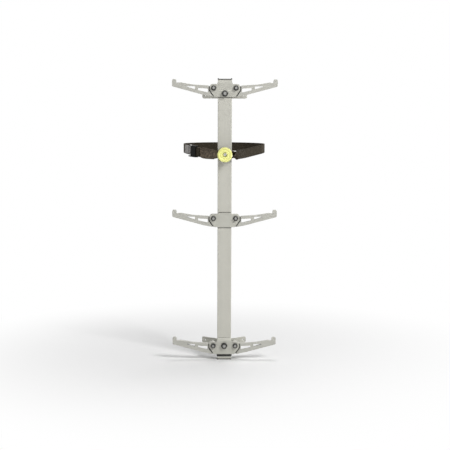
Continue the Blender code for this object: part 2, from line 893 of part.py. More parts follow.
# ================================================================ strap button
def build_button():
    """Hub, cap, screw and the nut inside the post."""
    hole = BUTTON_SCREW / 2 + BORE_CLEARANCE
    place = (0, 0, BUTTON_HEIGHT)
    hub = turned(
        "button_hub",
        [
            (hole, HUB_BACK_Y),
            (hole, HUB_FRONT_Y),
            (HUB_DIAMETER / 2, HUB_FRONT_Y),
            (HUB_DIAMETER / 2, HUB_BACK_Y),
        ],
        yellow_plastic(),
        sides=BUTTON_SIDES,
    )
    hub.location = place
    outer = BUTTON_DIAMETER / 2
    edge = BUTTON_EDGE
    floor = CAP_FACE_Y + BUTTON_COUNTERBORE_DEPTH
    groove = 0.0008
    cap = turned(
        "button_cap",
        [
            (hole, CAP_BACK_Y),
            (hole, floor),
            (BUTTON_COUNTERBORE / 2, floor),
            (BUTTON_COUNTERBORE / 2, CAP_FACE_Y + groove),
            (BUTTON_COUNTERBORE / 2 + groove, CAP_FACE_Y),
            (BUTTON_GROOVE_RADIUS - groove, CAP_FACE_Y),
            (BUTTON_GROOVE_RADIUS, CAP_FACE_Y + BUTTON_GROOVE_DEPTH),
            (BUTTON_GROOVE_RADIUS + groove, CAP_FACE_Y),
            (outer - edge, CAP_FACE_Y),
            (outer - edge * 0.3, CAP_FACE_Y + edge * 0.3),
            (outer, CAP_FACE_Y + edge),
            (outer, CAP_BACK_Y - edge / 3),
            (outer - edge / 3, CAP_BACK_Y),
        ],
        yellow_plastic(),
        sides=BUTTON_SIDES,
    )
    cap.location = place
    nut_seat = POST_FRONT_Y + POST_WALL + GAP
    screw_end = nut_seat + BUTTON_NUT_HEIGHT + BOLT_TIP
    head_seat = floor - GAP
    head_top = head_seat - BUTTON_SCREW_HEAD_HEIGHT
    screw = turned(
        "button_screw",
        [
            (0, head_top),
            (BUTTON_SCREW_HEAD * 0.35, head_top),
            (BUTTON_SCREW_HEAD / 2, head_top + BUTTON_SCREW_HEAD_HEIGHT * 0.45),
            (BUTTON_SCREW_HEAD / 2, head_seat),
            (BUTTON_SCREW / 2, head_seat),
            (BUTTON_SCREW / 2, screw_end),
            (0, screw_end),
        ],
        zinc_steel(),
    )
    screw.location = place
    sections = [
        hexagon(BUTTON_NUT_FLATS, nut_seat),
        hexagon(BUTTON_NUT_FLATS, nut_seat + BUTTON_NUT_HEIGHT),
        ring_section(hole, nut_seat + BUTTON_NUT_HEIGHT),
        ring_section(hole, nut_seat),
    ]
    nut = loft("button_nut", sections, zinc_steel())
    nut.location = place


# ================================================================ strap
def smooth(value):
    """A step from 0 to 1 with level ends."""
    value = min(max(value, 0.0), 1.0)
    return value * value * (3 - 2 * value)


class Run:
    """The strap's centreline in plan, from the hub's axis out to the tree.

    It runs straight past the post's side, bends back, runs straight to the tree
    and then follows its circle. `side` is 1 for the right-hand run.
    """

    def __init__(self, side, hub_y):
        self.side = side
        self.hub_y = hub_y
        self.tree = Vector((0, TREE_RADIUS + WEB_THICKNESS / 2 + tree_front()))
        self.radius = TREE_RADIUS + WEB_THICKNESS / 2
        bend = Vector((LEG_STRAIGHT, hub_y + BEND_RADIUS))
        across = self.tree - bend
        lean = math.atan2(across.y, across.x) - math.pi / 2
        self.turn = lean + math.acos((self.radius - BEND_RADIUS) / across.length)
        left = Vector((-math.sin(self.turn), math.cos(self.turn)))
        self.bend = bend
        self.leave = bend - left * BEND_RADIUS
        self.touch = self.tree - left * self.radius
        self.bend_end = LEG_STRAIGHT + BEND_RADIUS * self.turn
        self.touch_end = self.bend_end + (self.touch - self.leave).length

    def at(self, distance):
        """Point and direction at a distance along the run."""
        if distance < LEG_STRAIGHT:
            point, angle = Vector((distance, self.hub_y)), 0.0
        elif distance < self.bend_end:
            angle = (distance - LEG_STRAIGHT) / BEND_RADIUS
            point = self.bend + BEND_RADIUS * Vector((math.sin(angle), -math.cos(angle)))
        elif distance < self.touch_end:
            angle = self.turn
            ahead = Vector((math.cos(angle), math.sin(angle)))
            point = self.leave + (distance - self.bend_end) * ahead
        else:
            angle = self.turn + (distance - self.touch_end) / self.radius
            point = self.tree + self.radius * Vector((math.sin(angle), -math.cos(angle)))
        ahead = Vector((self.side * math.cos(angle), math.sin(angle), 0))
        return Vector((self.side * point.x, point.y, 0)), ahead

    def rise(self, distance):
        """How far the strap has climbed above the button."""
        start = self.bend_end
        return STRAP_RISE * smooth((distance - start) / RISE_LENGTH)


def tree_front():
    """Where the tree's face lies in Y when both standoff wings touch it."""
    tip = STANDOFF_SPREAD / 2
    return math.sqrt(TREE_RADIUS**2 - tip**2) - TREE_RADIUS


def inward(ahead, side):
    """The level direction that points from the strap towards the tree."""
    return Vector((-ahead.y * side, ahead.x * side, 0))


def leg_spread(side, distance):
    """How far each leg of an end loop lies above or below the strap's middle."""
    if side > 0:
        closed = smooth((distance - LOOP_END) / (LONG_MERGE - LOOP_END))
        return loop_radius() * (1 - closed)
    start, end = SHORT_CLOSE
    closed = smooth((distance - start) / (end - start))
    fan = smooth((distance - end) / (SHORT_FAN_END - end))
    spread = loop_radius() + (SHORT_NECK - loop_radius()) * closed
    spread += (SHORT_FAN - SHORT_NECK) * fan
    merged = smooth((distance - SHORT_FAN_END) / (SHORT_MERGE - SHORT_FAN_END))
    return spread * (1 - merged)


def leg_section(run, distance, upper):
    """Centre, width direction, width and thickness of one leg of an end loop."""
    point, ahead = run.at(distance)
    towards = inward(ahead, run.side)
    start, end = LONG_TWIST if run.side > 0 else SHORT_TWIST
    twist = math.pi / 2 * smooth((distance - start) / (end - start))
    folded = math.cos(twist)
    width = min(WEB_WIDTH, FOLDED_WIDTH / max(folded, 1e-6))
    thickness = WEB_THICKNESS * (1 + 0.9 * folded)
    apart = leg_spread(run.side, distance)
    layer = (WEB_THICKNESS + GAP) / 2 * math.sin(twist)
    sign = 1 if upper else -1
    centre = point + towards * (sign * layer)
    centre.z = BUTTON_HEIGHT + run.rise(distance) + sign * apart
    across = -towards * math.cos(twist) + Vector((0, 0, math.sin(twist)))
    return centre, across, width, thickness


def loop_radius():
    """Middle of the folded webbing round the hub."""
    return HUB_DIAMETER / 2 + GAP + WEB_THICKNESS * 1.9 / 2


def hub_loop(side, hub_y, steps=10):
    """The half turn round the hub, from its top to its underside."""
    radius = loop_radius()
    sections = []
    for k in range(steps + 1):
        angle = math.pi * k / steps
        centre = Vector((-side * radius * math.sin(angle), hub_y, radius * math.cos(angle)))
        centre.z += BUTTON_HEIGHT
        sections.append((centre, Vector((0, -1, 0)), FOLDED_WIDTH, WEB_THICKNESS * 1.9))
    return sections


def ribbon(name, sections, ring=False):
    """Skin webbing along its sections of (centre, across, width, thickness)."""
    loops = []
    count = len(sections)
    for i, (centre, across, width, thickness) in enumerate(sections):
        before = sections[i - 1][0] if i or ring else centre
        after = sections[(i + 1) % count][0] if i + 1 < count or ring else centre
        ahead = (after - before).normalized()
        across = (across - across.dot(ahead) * ahead).normalized() * (width / 2)
        face = ahead.cross(across).normalized() * (thickness / 2)
        loops.append(
            [
                centre - across - face,
                centre + across - face,
                centre + across + face,
                centre - across + face,
            ]
        )
    return loft(name, loops, webbing(), ring=ring)


def spaced(start, end, step):
    """Distances from start to end, evenly spaced, both included."""
    count = max(1, round(abs(end - start) / step))
    return [start + (end - start) * k / count for k in range(count + 1)]


HUB_MIDDLE_Y = (HUB_BACK_Y + HUB_FRONT_Y) / 2
LOOP_SHIFT = (FOLDED_WIDTH + 2 * GAP) / 2
LEG_STEP = 0.003
UP = Vector((0, 0, 1))


def right_run():
    return Run(1, HUB_MIDDLE_Y - LOOP_SHIFT)


def left_run():
    return Run(-1, HUB_MIDDLE_Y + LOOP_SHIFT)


def buckle_frame():
    """Origin and axes of the buckle: along the strap, across it, outward."""
    run = left_run()
    distance = run.bend_end + BUCKLE_DISTANCE
    point, ahead = run.at(min(distance, run.touch_end))
    step = 0.002
    climb = (run.rise(distance + step) - run.rise(distance - step)) / (2 * step)
    along = (ahead + UP * climb).normalized()
    outward = -inward(ahead, run.side)
    across = along.cross(outward).normalized()
    extra = distance - run.touch_end
    if extra > 0:
        point += ahead * extra
    point.z = BUTTON_HEIGHT + run.rise(distance)
    strap_height = BUCKLE_SHEET + GAP + WEB_THICKNESS / 2
    origin = point - outward * strap_height
    return origin, along, outward, across


def build_long_strap():
    """The long strap: sewn loop on the hub, round the tree, through the buckle."""
    run = right_run()
    sewn = (WEB_THICKNESS + GAP) / 2
    sections = []
    for distance in spaced(SEWN_LENGTH, LONG_MERGE, 0.012)[:-1]:
        point, ahead = run.at(distance)
        point.z = BUTTON_HEIGHT + run.rise(distance)
        point += inward(ahead, 1) * sewn
        sections.append((point, UP, WEB_WIDTH, WEB_THICKNESS))
    legs = spaced(LONG_MERGE, 0.0, LEG_STEP)[:-1]
    sections += [leg_section(run, d, True) for d in legs]
    sections += hub_loop(1, run.hub_y)
    sections += [leg_section(run, d, False) for d in reversed(legs)]
    half_round = run.radius * (math.pi - run.turn)
    for distance in spaced(LONG_MERGE, run.touch_end + half_round, 0.011)[1:]:
        point, ahead = run.at(distance)
        point.z = BUTTON_HEIGHT + run.rise(distance)
        away = sewn * (1 - smooth((distance - SEWN_LENGTH) / 0.030))
        point -= inward(ahead, 1) * away
        sections.append((point, UP, WEB_WIDTH, WEB_THICKNESS))
    back = left_run()
    half_round = back.radius * (math.pi - back.turn)
    origin, along, outward, across = buckle_frame()
    strap_height = BUCKLE_SHEET + GAP + WEB_THICKNESS / 2
    mouth = BUCKLE_FAR + 0.004
    stop = back.bend_end + BUCKLE_DISTANCE + mouth
    for distance in spaced(back.touch_end + half_round, stop, 0.011)[1:-1]:
        point, _ = back.at(distance)
        point.z = BUTTON_HEIGHT + back.rise(distance)
        sections.append((point, UP, WEB_WIDTH, WEB_THICKNESS))
    tail_end = back.bend_end + BUCKLE_DISTANCE - TAIL_END
    rest = strap_height + sewn + WEB_THICKNESS + TAIL_LIFT
    for u in spaced(BUCKLE_FAR + 0.001, -tail_end, 0.005):
        lift = smooth((-u - 0.009) / 0.011)
        height = strap_height + (rest - strap_height) * lift
        sections.append(
            (origin + along * u + outward * height, across, WEB_WIDTH, WEB_THICKNESS)
        )
    ribbon("long_strap", sections)


def build_short_strap():
    """The short endless strap between the hub and the buckle's bar."""
    run = left_run()
    origin, along, outward, across = buckle_frame()
    turn_radius = BUCKLE_SHEET / 2 + GAP + WEB_THICKNESS / 2
    turn_u = -BUCKLE_NEAR + BAR_LENGTH - 0.0001
    middle = BUCKLE_SHEET / 2
    legs = spaced(SHORT_MERGE, 0.0, LEG_STEP)
    upper = [leg_section(run, d, True) for d in legs[:-1]]
    lower = [leg_section(run, d, False) for d in reversed(legs[:-1])]
    around = []
    for k in range(7):
        angle = math.pi * k / 6
        u = turn_u + turn_radius * math.sin(angle)
        n = middle + turn_radius * math.cos(angle)
        around.append(
            (origin + along * u + outward * n, across, WEB_WIDTH, WEB_THICKNESS)
        )
    lead = []
    for past, share in ((0.001, 1.0), (0.007, 0.8)):
        lead.append((turn_u - BAR_LENGTH - past, turn_radius * share))
    front = [
        (origin + along * u + outward * (middle + n), across, WEB_WIDTH, WEB_THICKNESS)
        for u, n in reversed(lead)
    ]
    back = [
        (origin + along * u + outward * (middle - n), across, WEB_WIDTH, WEB_THICKNESS)
        for u, n in lead
    ]
    sections = upper + hub_loop(-1, run.hub_y) + lower + front + around + back
    ribbon("short_strap", sections, ring=True)


# ================================================================ cam buckle
def buckle_view(u, v, offset):
    """Buckle outlines: u along the strap, v outward, extruded across it."""
    return (u, v, offset)


def block(name, u, n, w, finish, parent=None):
    """A rectangular block from (low, high) pairs along, outward and across."""
    outline = [Vector((u[0], n[0])), Vector((u[1], n[0]))]
    outline += [Vector((u[1], n[1])), Vector((u[0], n[1]))]
    return sheet_solid(name, [outline], w[0], w[1], buckle_view, finish, parent)


def ear_outline():
    """A buckle ear: high round the pin, lower towards the strap bar."""
    low = BUCKLE_SHEET / 2
    return rounded(
        [
            (-EAR_NEAR, low, 0),
            (EAR_FAR, low, 0),
            (EAR_FAR - 0.003, EAR_HEIGHT, 0.004),
            (-GUARD_START, EAR_HEIGHT, 0.004),
            (-EAR_NEAR, GUARD_END_HEIGHT + GAP, 0.001),
        ]
    )


def guard_outline():
    """The sloping plate between the ears, over the strap's free end."""
    start, end = -GUARD_START - GAP, -EAR_NEAR + GAP
    high = EAR_HEIGHT - 2 * GAP
    return [
        Vector((start, high)),
        Vector((end, GUARD_END_HEIGHT)),
        Vector((end, GUARD_END_HEIGHT - BUCKLE_SHEET)),
        Vector((start, high - BUCKLE_SHEET)),
    ]


def build_buckle_frame(axes):
    """Base plate with the strap bar's slot, two ears for the pin, and a guard."""
    half = BUCKLE_WIDTH / 2
    frame = block(
        "buckle_frame",
        (-BUCKLE_NEAR, BUCKLE_FAR),
        (0, BUCKLE_SHEET),
        (-half, half),
        black_steel(),
        axes,
    )
    for label, sign in SIDES.items():
        inner, outer = sign * (half - BUCKLE_SHEET), sign * half
        ear = sheet_solid(
            f"join_ear_{label}_buckle",
            [ear_outline()],
            min(inner, outer),
            max(inner, outer),
            buckle_view,
            None,
        )
        carve(frame, ear, "UNION")
    reach = half - BUCKLE_SHEET / 2
    guard = sheet_solid(
        "join_guard_buckle", [guard_outline()], -reach, reach, buckle_view, None
    )
    carve(frame, guard, "UNION")
    slot_start = -BUCKLE_NEAR + BAR_LENGTH
    opening = WEB_WIDTH / 2 + 2 * GAP
    slot = block(
        "cut_buckle_slot",
        (slot_start, slot_start + SLOT_LENGTH),
        (-BUCKLE_SHEET, 2 * BUCKLE_SHEET),
        (-opening, opening),
        None,
    )
    carve(frame, slot)
    hole = sheet_solid(
        "cut_buckle_pin",
        [circle((0, CAM_PIN_HEIGHT), CAM_PIN / 2 + BORE_CLEARANCE)],
        -BUCKLE_WIDTH,
        BUCKLE_WIDTH,
        buckle_view,
        None,
    )
    carve(frame, hole)


def cam_outline():
    """The cam and its lever, drawn round the pin's axis."""
    nose = CAM_NOSE
    back = nose * 0.92
    arm_low = -LEVER_THICKNESS * 0.55
    arm_high = arm_low + LEVER_THICKNESS
    arc = [
        Vector((back * math.cos(a), back * math.sin(a)))
        for a in (math.radians(180 + 15 * k) for k in range(6))
    ]
    rest = rounded(
        [
            (0, -nose, 0),
            (nose * 0.5, -nose * 0.86, 0),
            (nose * 1.5, arm_low, 0.003),
            (LEVER_LENGTH - 0.004, arm_low, 0.006),
            (LEVER_LENGTH, arm_low + 0.001, 0.0008),
            (LEVER_LENGTH - 0.001, arm_high, 0.0015),
            (nose * 1.4, arm_high, 0.004),
            (nose * 0.4, nose, 0.003),
            (-back, nose * 0.8, 0.002),
        ]
    )
    return arc + rest


def build_cam_lever(axes):
    """The toothless cam and its lever, on the pin between the ears."""
    pivot = add_empty("cam_pivot", (0, CAM_PIN_HEIGHT, 0))
    pivot.parent = axes
    half = BUCKLE_WIDTH / 2 - BUCKLE_SHEET - 3 * GAP
    spring_room = SPRING_TURNS * SPRING_PITCH + SPRING_WIRE + GAP
    sheet_solid(
        "cam_lever",
        [cam_outline(), circle((0, 0), CAM_PIN / 2 + BORE_CLEARANCE)],
        -half + spring_room,
        half,
        buckle_view,
        zinc_steel(),
        pivot,
    )


def build_cam_pin(axes):
    """The headed pin through both ears."""
    end = BUCKLE_WIDTH / 2 + GAP
    head = CAM_PIN_HEAD / 2
    tall = CAM_PIN_HEAD_HEIGHT
    pin = turned(
        "cam_pin",
        [
            (0, -end - tall),
            (head * 0.8, -end - tall),
            (head, -end),
            (CAM_PIN / 2, -end),
            (CAM_PIN / 2, end),
            (head, end),
            (head * 0.8, end + tall),
            (0, end + tall),
        ],
        zinc_steel(),
        axes,
    )
    pin.location = (0, CAM_PIN_HEIGHT, 0)
    pin.rotation_euler = (math.pi / 2, 0, 0)


def build_cam_spring(axes):
    """The torsion spring round the pin, beside the cam."""
    data = bpy.data.curves.new("cam_spring", "CURVE")
    data.dimensions = "3D"
    data.bevel_depth = SPRING_WIRE / 2
    data.bevel_resolution = 1
    data.use_fill_caps = True
    per_turn = 10
    radius = CAM_PIN / 2 + GAP + SPRING_WIRE / 2
    count = SPRING_TURNS * per_turn
    spline = data.splines.new("POLY")
    spline.points.add(count)
    start = -BUCKLE_WIDTH / 2 + BUCKLE_SHEET + GAP + SPRING_WIRE / 2
    for k in range(count + 1):
        angle = math.tau * k / per_turn
        along = start + SPRING_PITCH * k / per_turn
        place = (radius * math.cos(angle), radius * math.sin(angle), along, 1)
        spline.points[k].co = place
    data.materials.append(zinc_steel())
    spring = bpy.data.objects.new("cam_spring", data)
    bpy.context.scene.collection.objects.link(spring)
    spring.parent = axes
    spring.location = (0, CAM_PIN_HEIGHT, 0)


def build_buckle():
    """Every piece of the cam buckle, in the buckle's own axes."""
    origin, along, outward, across = buckle_frame()
    axes = add_empty("buckle_axes", origin, Matrix((along, outward, across)).transposed())
    build_buckle_frame(axes)
    build_cam_lever(axes)
    build_cam_pin(axes)
    build_cam_spring(axes)


# ================================================================ assembly
def clear_scene():
    for obj in list(bpy.data.objects):
        bpy.data.objects.remove(obj, do_unlink=True)


def main():
    clear_scene()
    build_post()
    build_end_caps()
    build_band()
    build_plates()
    build_standoffs()
    build_steps()
    build_pivots()
    build_centre_bolts()
    build_button()
    build_long_strap()
    build_short_strap()
    build_buckle()


main()
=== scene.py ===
"""Climbing stick, dressed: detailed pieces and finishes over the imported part.

Each piece keeps the sizes and the frame of the part it stands for: metres, +Z up
the post, +Y towards the tree, and the origin midway between the bearing tips of
the lower standoff, level with the lower pivots.
"""

import json
import logging
import math
from contextlib import contextmanager
from dataclasses import dataclass, field
from enum import Enum
from typing import Callable, Iterator, Sequence

import bpy
from mathutils import Matrix, Vector

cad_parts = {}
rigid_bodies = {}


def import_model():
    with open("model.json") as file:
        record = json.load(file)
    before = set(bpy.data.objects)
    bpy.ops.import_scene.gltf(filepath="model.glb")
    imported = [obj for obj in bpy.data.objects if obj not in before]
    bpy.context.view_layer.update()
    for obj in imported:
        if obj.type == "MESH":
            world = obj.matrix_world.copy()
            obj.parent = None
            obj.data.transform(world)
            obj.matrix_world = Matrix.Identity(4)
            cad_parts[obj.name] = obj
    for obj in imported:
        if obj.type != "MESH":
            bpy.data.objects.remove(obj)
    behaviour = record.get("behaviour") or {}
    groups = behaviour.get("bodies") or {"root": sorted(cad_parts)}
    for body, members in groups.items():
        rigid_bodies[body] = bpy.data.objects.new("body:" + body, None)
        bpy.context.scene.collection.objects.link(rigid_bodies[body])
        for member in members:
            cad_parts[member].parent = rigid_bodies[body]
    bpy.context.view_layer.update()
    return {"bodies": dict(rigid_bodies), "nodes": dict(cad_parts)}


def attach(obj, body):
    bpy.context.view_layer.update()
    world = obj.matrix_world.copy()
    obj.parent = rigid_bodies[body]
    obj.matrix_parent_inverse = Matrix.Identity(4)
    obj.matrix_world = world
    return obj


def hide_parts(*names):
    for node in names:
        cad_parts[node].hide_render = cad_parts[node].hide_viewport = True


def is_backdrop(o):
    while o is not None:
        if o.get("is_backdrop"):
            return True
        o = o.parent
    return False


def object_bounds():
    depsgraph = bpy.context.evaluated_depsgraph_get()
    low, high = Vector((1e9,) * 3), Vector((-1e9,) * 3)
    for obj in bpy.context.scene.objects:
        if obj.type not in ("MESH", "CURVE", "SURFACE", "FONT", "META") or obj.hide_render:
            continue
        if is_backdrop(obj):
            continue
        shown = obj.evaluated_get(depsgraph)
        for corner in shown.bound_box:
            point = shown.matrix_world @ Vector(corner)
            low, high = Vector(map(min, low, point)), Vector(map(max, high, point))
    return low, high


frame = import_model()

log = logging.getLogger("climbing_stick")

Colour = tuple[float, float, float]
Point = tuple[float, float, float]
Outline = list[Vector]
UP = Vector((0.0, 0.0, 1.0))


# ====================================================================== bench
def select_only(obj: bpy.types.Object | None = None) -> None:
    """Deselect everything, then select one object and make it active."""
    for other in bpy.context.view_layer.objects:
        other.select_set(False)
    if obj:
        obj.select_set(True)
        bpy.context.view_layer.objects.active = obj


@contextmanager
def editing(obj: bpy.types.Object) -> Iterator[None]:
    """Hold one object in edit mode with all of its mesh selected."""
    select_only(obj)
    bpy.ops.object.mode_set(mode="EDIT")
    bpy.ops.mesh.select_all(action="SELECT")
    yield
    bpy.ops.object.mode_set(mode="OBJECT")


def rename(obj: bpy.types.Object, name: str) -> bpy.types.Object:
    """Give an object and its mesh one name."""
    obj.name = name
    obj.data.name = name
    return obj


def apply_modifier(obj: bpy.types.Object, kind: str, **settings: object) -> None:
    """Add a modifier, set it and apply it.

    Args:
        obj: The mesh object to change.
        kind: Blender's name for the modifier's type.
        settings: The modifier's own properties.
    """
    modifier = obj.modifiers.new(kind.lower(), kind)
    for key, value in settings.items():
        setattr(modifier, key, value)
    select_only(obj)
    bpy.ops.object.modifier_apply(modifier=modifier.name)


def carve(
    obj: bpy.types.Object, cutter: bpy.types.Object, operation: str = "DIFFERENCE"
) -> None:
    """Cut a helper out of a piece, or join it on, and remove the helper."""
    apply_modifier(obj, "BOOLEAN", operation=operation, solver="EXACT", object=cutter)
    bpy.data.objects.remove(cutter, do_unlink=True)


def soften(obj: bpy.types.Object, width: float, segments: int = 2, angle: float = 40) -> None:
    """Round every edge sharper than an angle in degrees."""
    apply_modifier(
        obj,
        "BEVEL",
        width=width,
        segments=segments,
        limit_method="ANGLE",
        angle_limit=math.radians(angle),
        miter_outer="MITER_ARC",
    )


def tidy_mesh(obj: bpy.types.Object, distance: float = 2e-6) -> None:
    """Merge doubles and turn all faces outwards."""
    with editing(obj):
        bpy.ops.mesh.remove_doubles(threshold=distance)
        bpy.ops.mesh.normals_make_consistent(inside=False)


def copy_to(
    obj: bpy.types.Object, name: str, offset: Vector, mirror: bool = False
) -> bpy.types.Object:
    """Copy a finished shape with its own mesh.

    Args:
        obj: The shape to copy, modelled at the origin.
        name: The copy's name.
        offset: How far the copy is moved.
        mirror: Whether the copy is mirrored across the post first.

    Returns:
        The new object, at the origin with its place in its mesh.
    """
    made = bpy.data.objects.new(name, obj.data.copy())
    made.data.name = name
    bpy.context.scene.collection.objects.link(made)
    if mirror:
        made.data.transform(Matrix.Diagonal((-1.0, 1.0, 1.0, 1.0)))
        made.data.flip_normals()
    made.data.transform(Matrix.Translation(offset))
    return made


def discard(obj: bpy.types.Object) -> None:
    """Remove a pattern piece once its copies are made."""
    bpy.data.objects.remove(obj, do_unlink=True)


def rounded(corners: Sequence[tuple[float, float, float]], step: float = 7.0) -> Outline:
    """Draw a closed outline from corners, each rounded by an arc.

    Args:
        corners: (u, v, radius) of each corner, in order.
        step: The arc's largest step, in degrees.

    Returns:
        The outline's points.
    """
    points: Outline = []
    count = len(corners)
    for i, (u, v, radius) in enumerate(corners):
        here = Vector((u, v))
        before = Vector(corners[i - 1][:2]) - here
        after = Vector(corners[(i + 1) % count][:2]) - here
        if radius <= 0:
            points.append(here)
            continue
        half = before.angle(after) / 2
        reach = min(radius / math.tan(half), 0.49 * before.length, 0.49 * after.length)
        radius = reach * math.tan(half)
        middle = (before.normalized() + after.normalized()).normalized()
        centre = here + middle * (radius / math.sin(half))
        start = here + before.normalized() * reach - centre
        turn = math.pi - 2 * half
        turn = turn if before.cross(after) < 0 else -turn
        steps = max(2, math.ceil(abs(turn) / math.radians(step)))
        points += [
            centre + Matrix.Rotation(turn * k / steps, 2) @ start for k in range(steps + 1)
        ]
    return points


def front_view(u: float, v: float, offset: float) -> Vector:
    """Place an outline drawn in the XZ plane, at an offset along Y."""
    return Vector((u, offset, v))


def side_view(u: float, v: float, offset: float) -> Vector:
    """Place an outline drawn in the YZ plane, extruded along X."""
    return Vector((offset, u, v))


def plan_view(u: float, v: float, offset: float) -> Vector:
    """Place an outline drawn in the XY plane, at an offset along Z."""
    return Vector((u, v, offset))


def blank(
    name: str,
    outline: Outline,
    start: float,
    end: float,
    place: Callable[[float, float, float], Vector],
) -> bpy.types.Object:
    """Cut a blank to an outline and extrude it to its thickness.

    Args:
        name: The object's name.
        outline: The outline's points.
        start: Offset of the first face.
        end: Offset of the second face.
        place: Turns (u, v, offset) into a point.

    Returns:
        A closed solid with its place in its mesh.
    """
    select_only()
    bpy.ops.mesh.primitive_circle_add(vertices=len(outline), radius=1, fill_type="NGON")
    obj = rename(bpy.context.active_object, name)
    for vertex, point in zip(obj.data.vertices, outline):
        vertex.co = place(point.x, point.y, start)
    way = place(0, 0, end) - place(0, 0, start)
    with editing(obj):
        bpy.ops.mesh.extrude_region_move(TRANSFORM_OT_translate={"value": way})
    tidy_mesh(obj)
    return obj


def bar(name: str, radius: float, ends: tuple[Vector, Vector], sides: int = 48) -> bpy.types.Object:
    """Add a round bar between two points, mostly as a cutter."""
    start, end = ends
    way = end - start
    select_only()
    bpy.ops.mesh.primitive_cylinder_add(
        vertices=sides,
        radius=radius,
        depth=way.length,
        location=(start + end) / 2,
        rotation=way.to_track_quat("Z", "Y").to_euler(),
    )
    obj = rename(bpy.context.active_object, name)
    bpy.ops.object.transform_apply(location=True, rotation=True, scale=True)
    return obj


def bore(obj: bpy.types.Object, x: float, z: float, radius: float) -> None:
    """Drill a round hole through a piece along Y."""
    reach = 0.2
    carve(obj, bar("drill", radius, (Vector((x, -reach, z)), Vector((x, reach, z)))))


def turned(
    name: str, profile: Sequence[tuple[float, float]], closed: bool, sides: int = 48
) -> bpy.types.Object:
    """Turn a profile round the Y axis with the spin tool.

    Args:
        name: The object's name.
        profile: (radius, y) points.
        closed: Whether the last point joins the first. An open profile starts and
            ends on the axis.
        sides: Steps round the full turn.

    Returns:
        A closed solid round the Y axis.
    """
    select_only()
    bpy.ops.mesh.primitive_circle_add(vertices=len(profile), radius=1, fill_type="NOTHING")
    obj = rename(bpy.context.active_object, name)
    for vertex, (radius, y) in zip(obj.data.vertices, profile):
        vertex.co = (radius, y, 0)
    if not closed:
        bpy.context.tool_settings.mesh_select_mode = (False, True, False)
        select_only(obj)
        last = {0, len(profile) - 1}
        obj.data.vertices.foreach_set("select", [False] * len(profile))
        for edge in obj.data.edges:
            edge.select = set(edge.vertices) == last
        bpy.ops.object.mode_set(mode="EDIT")
        bpy.ops.mesh.delete(type="EDGE")
        bpy.ops.object.mode_set(mode="OBJECT")
    with editing(obj):
        bpy.ops.mesh.spin(steps=sides, angle=math.tau, center=(0, 0, 0), axis=(0, 1, 0))
    tidy_mesh(obj)
    return obj


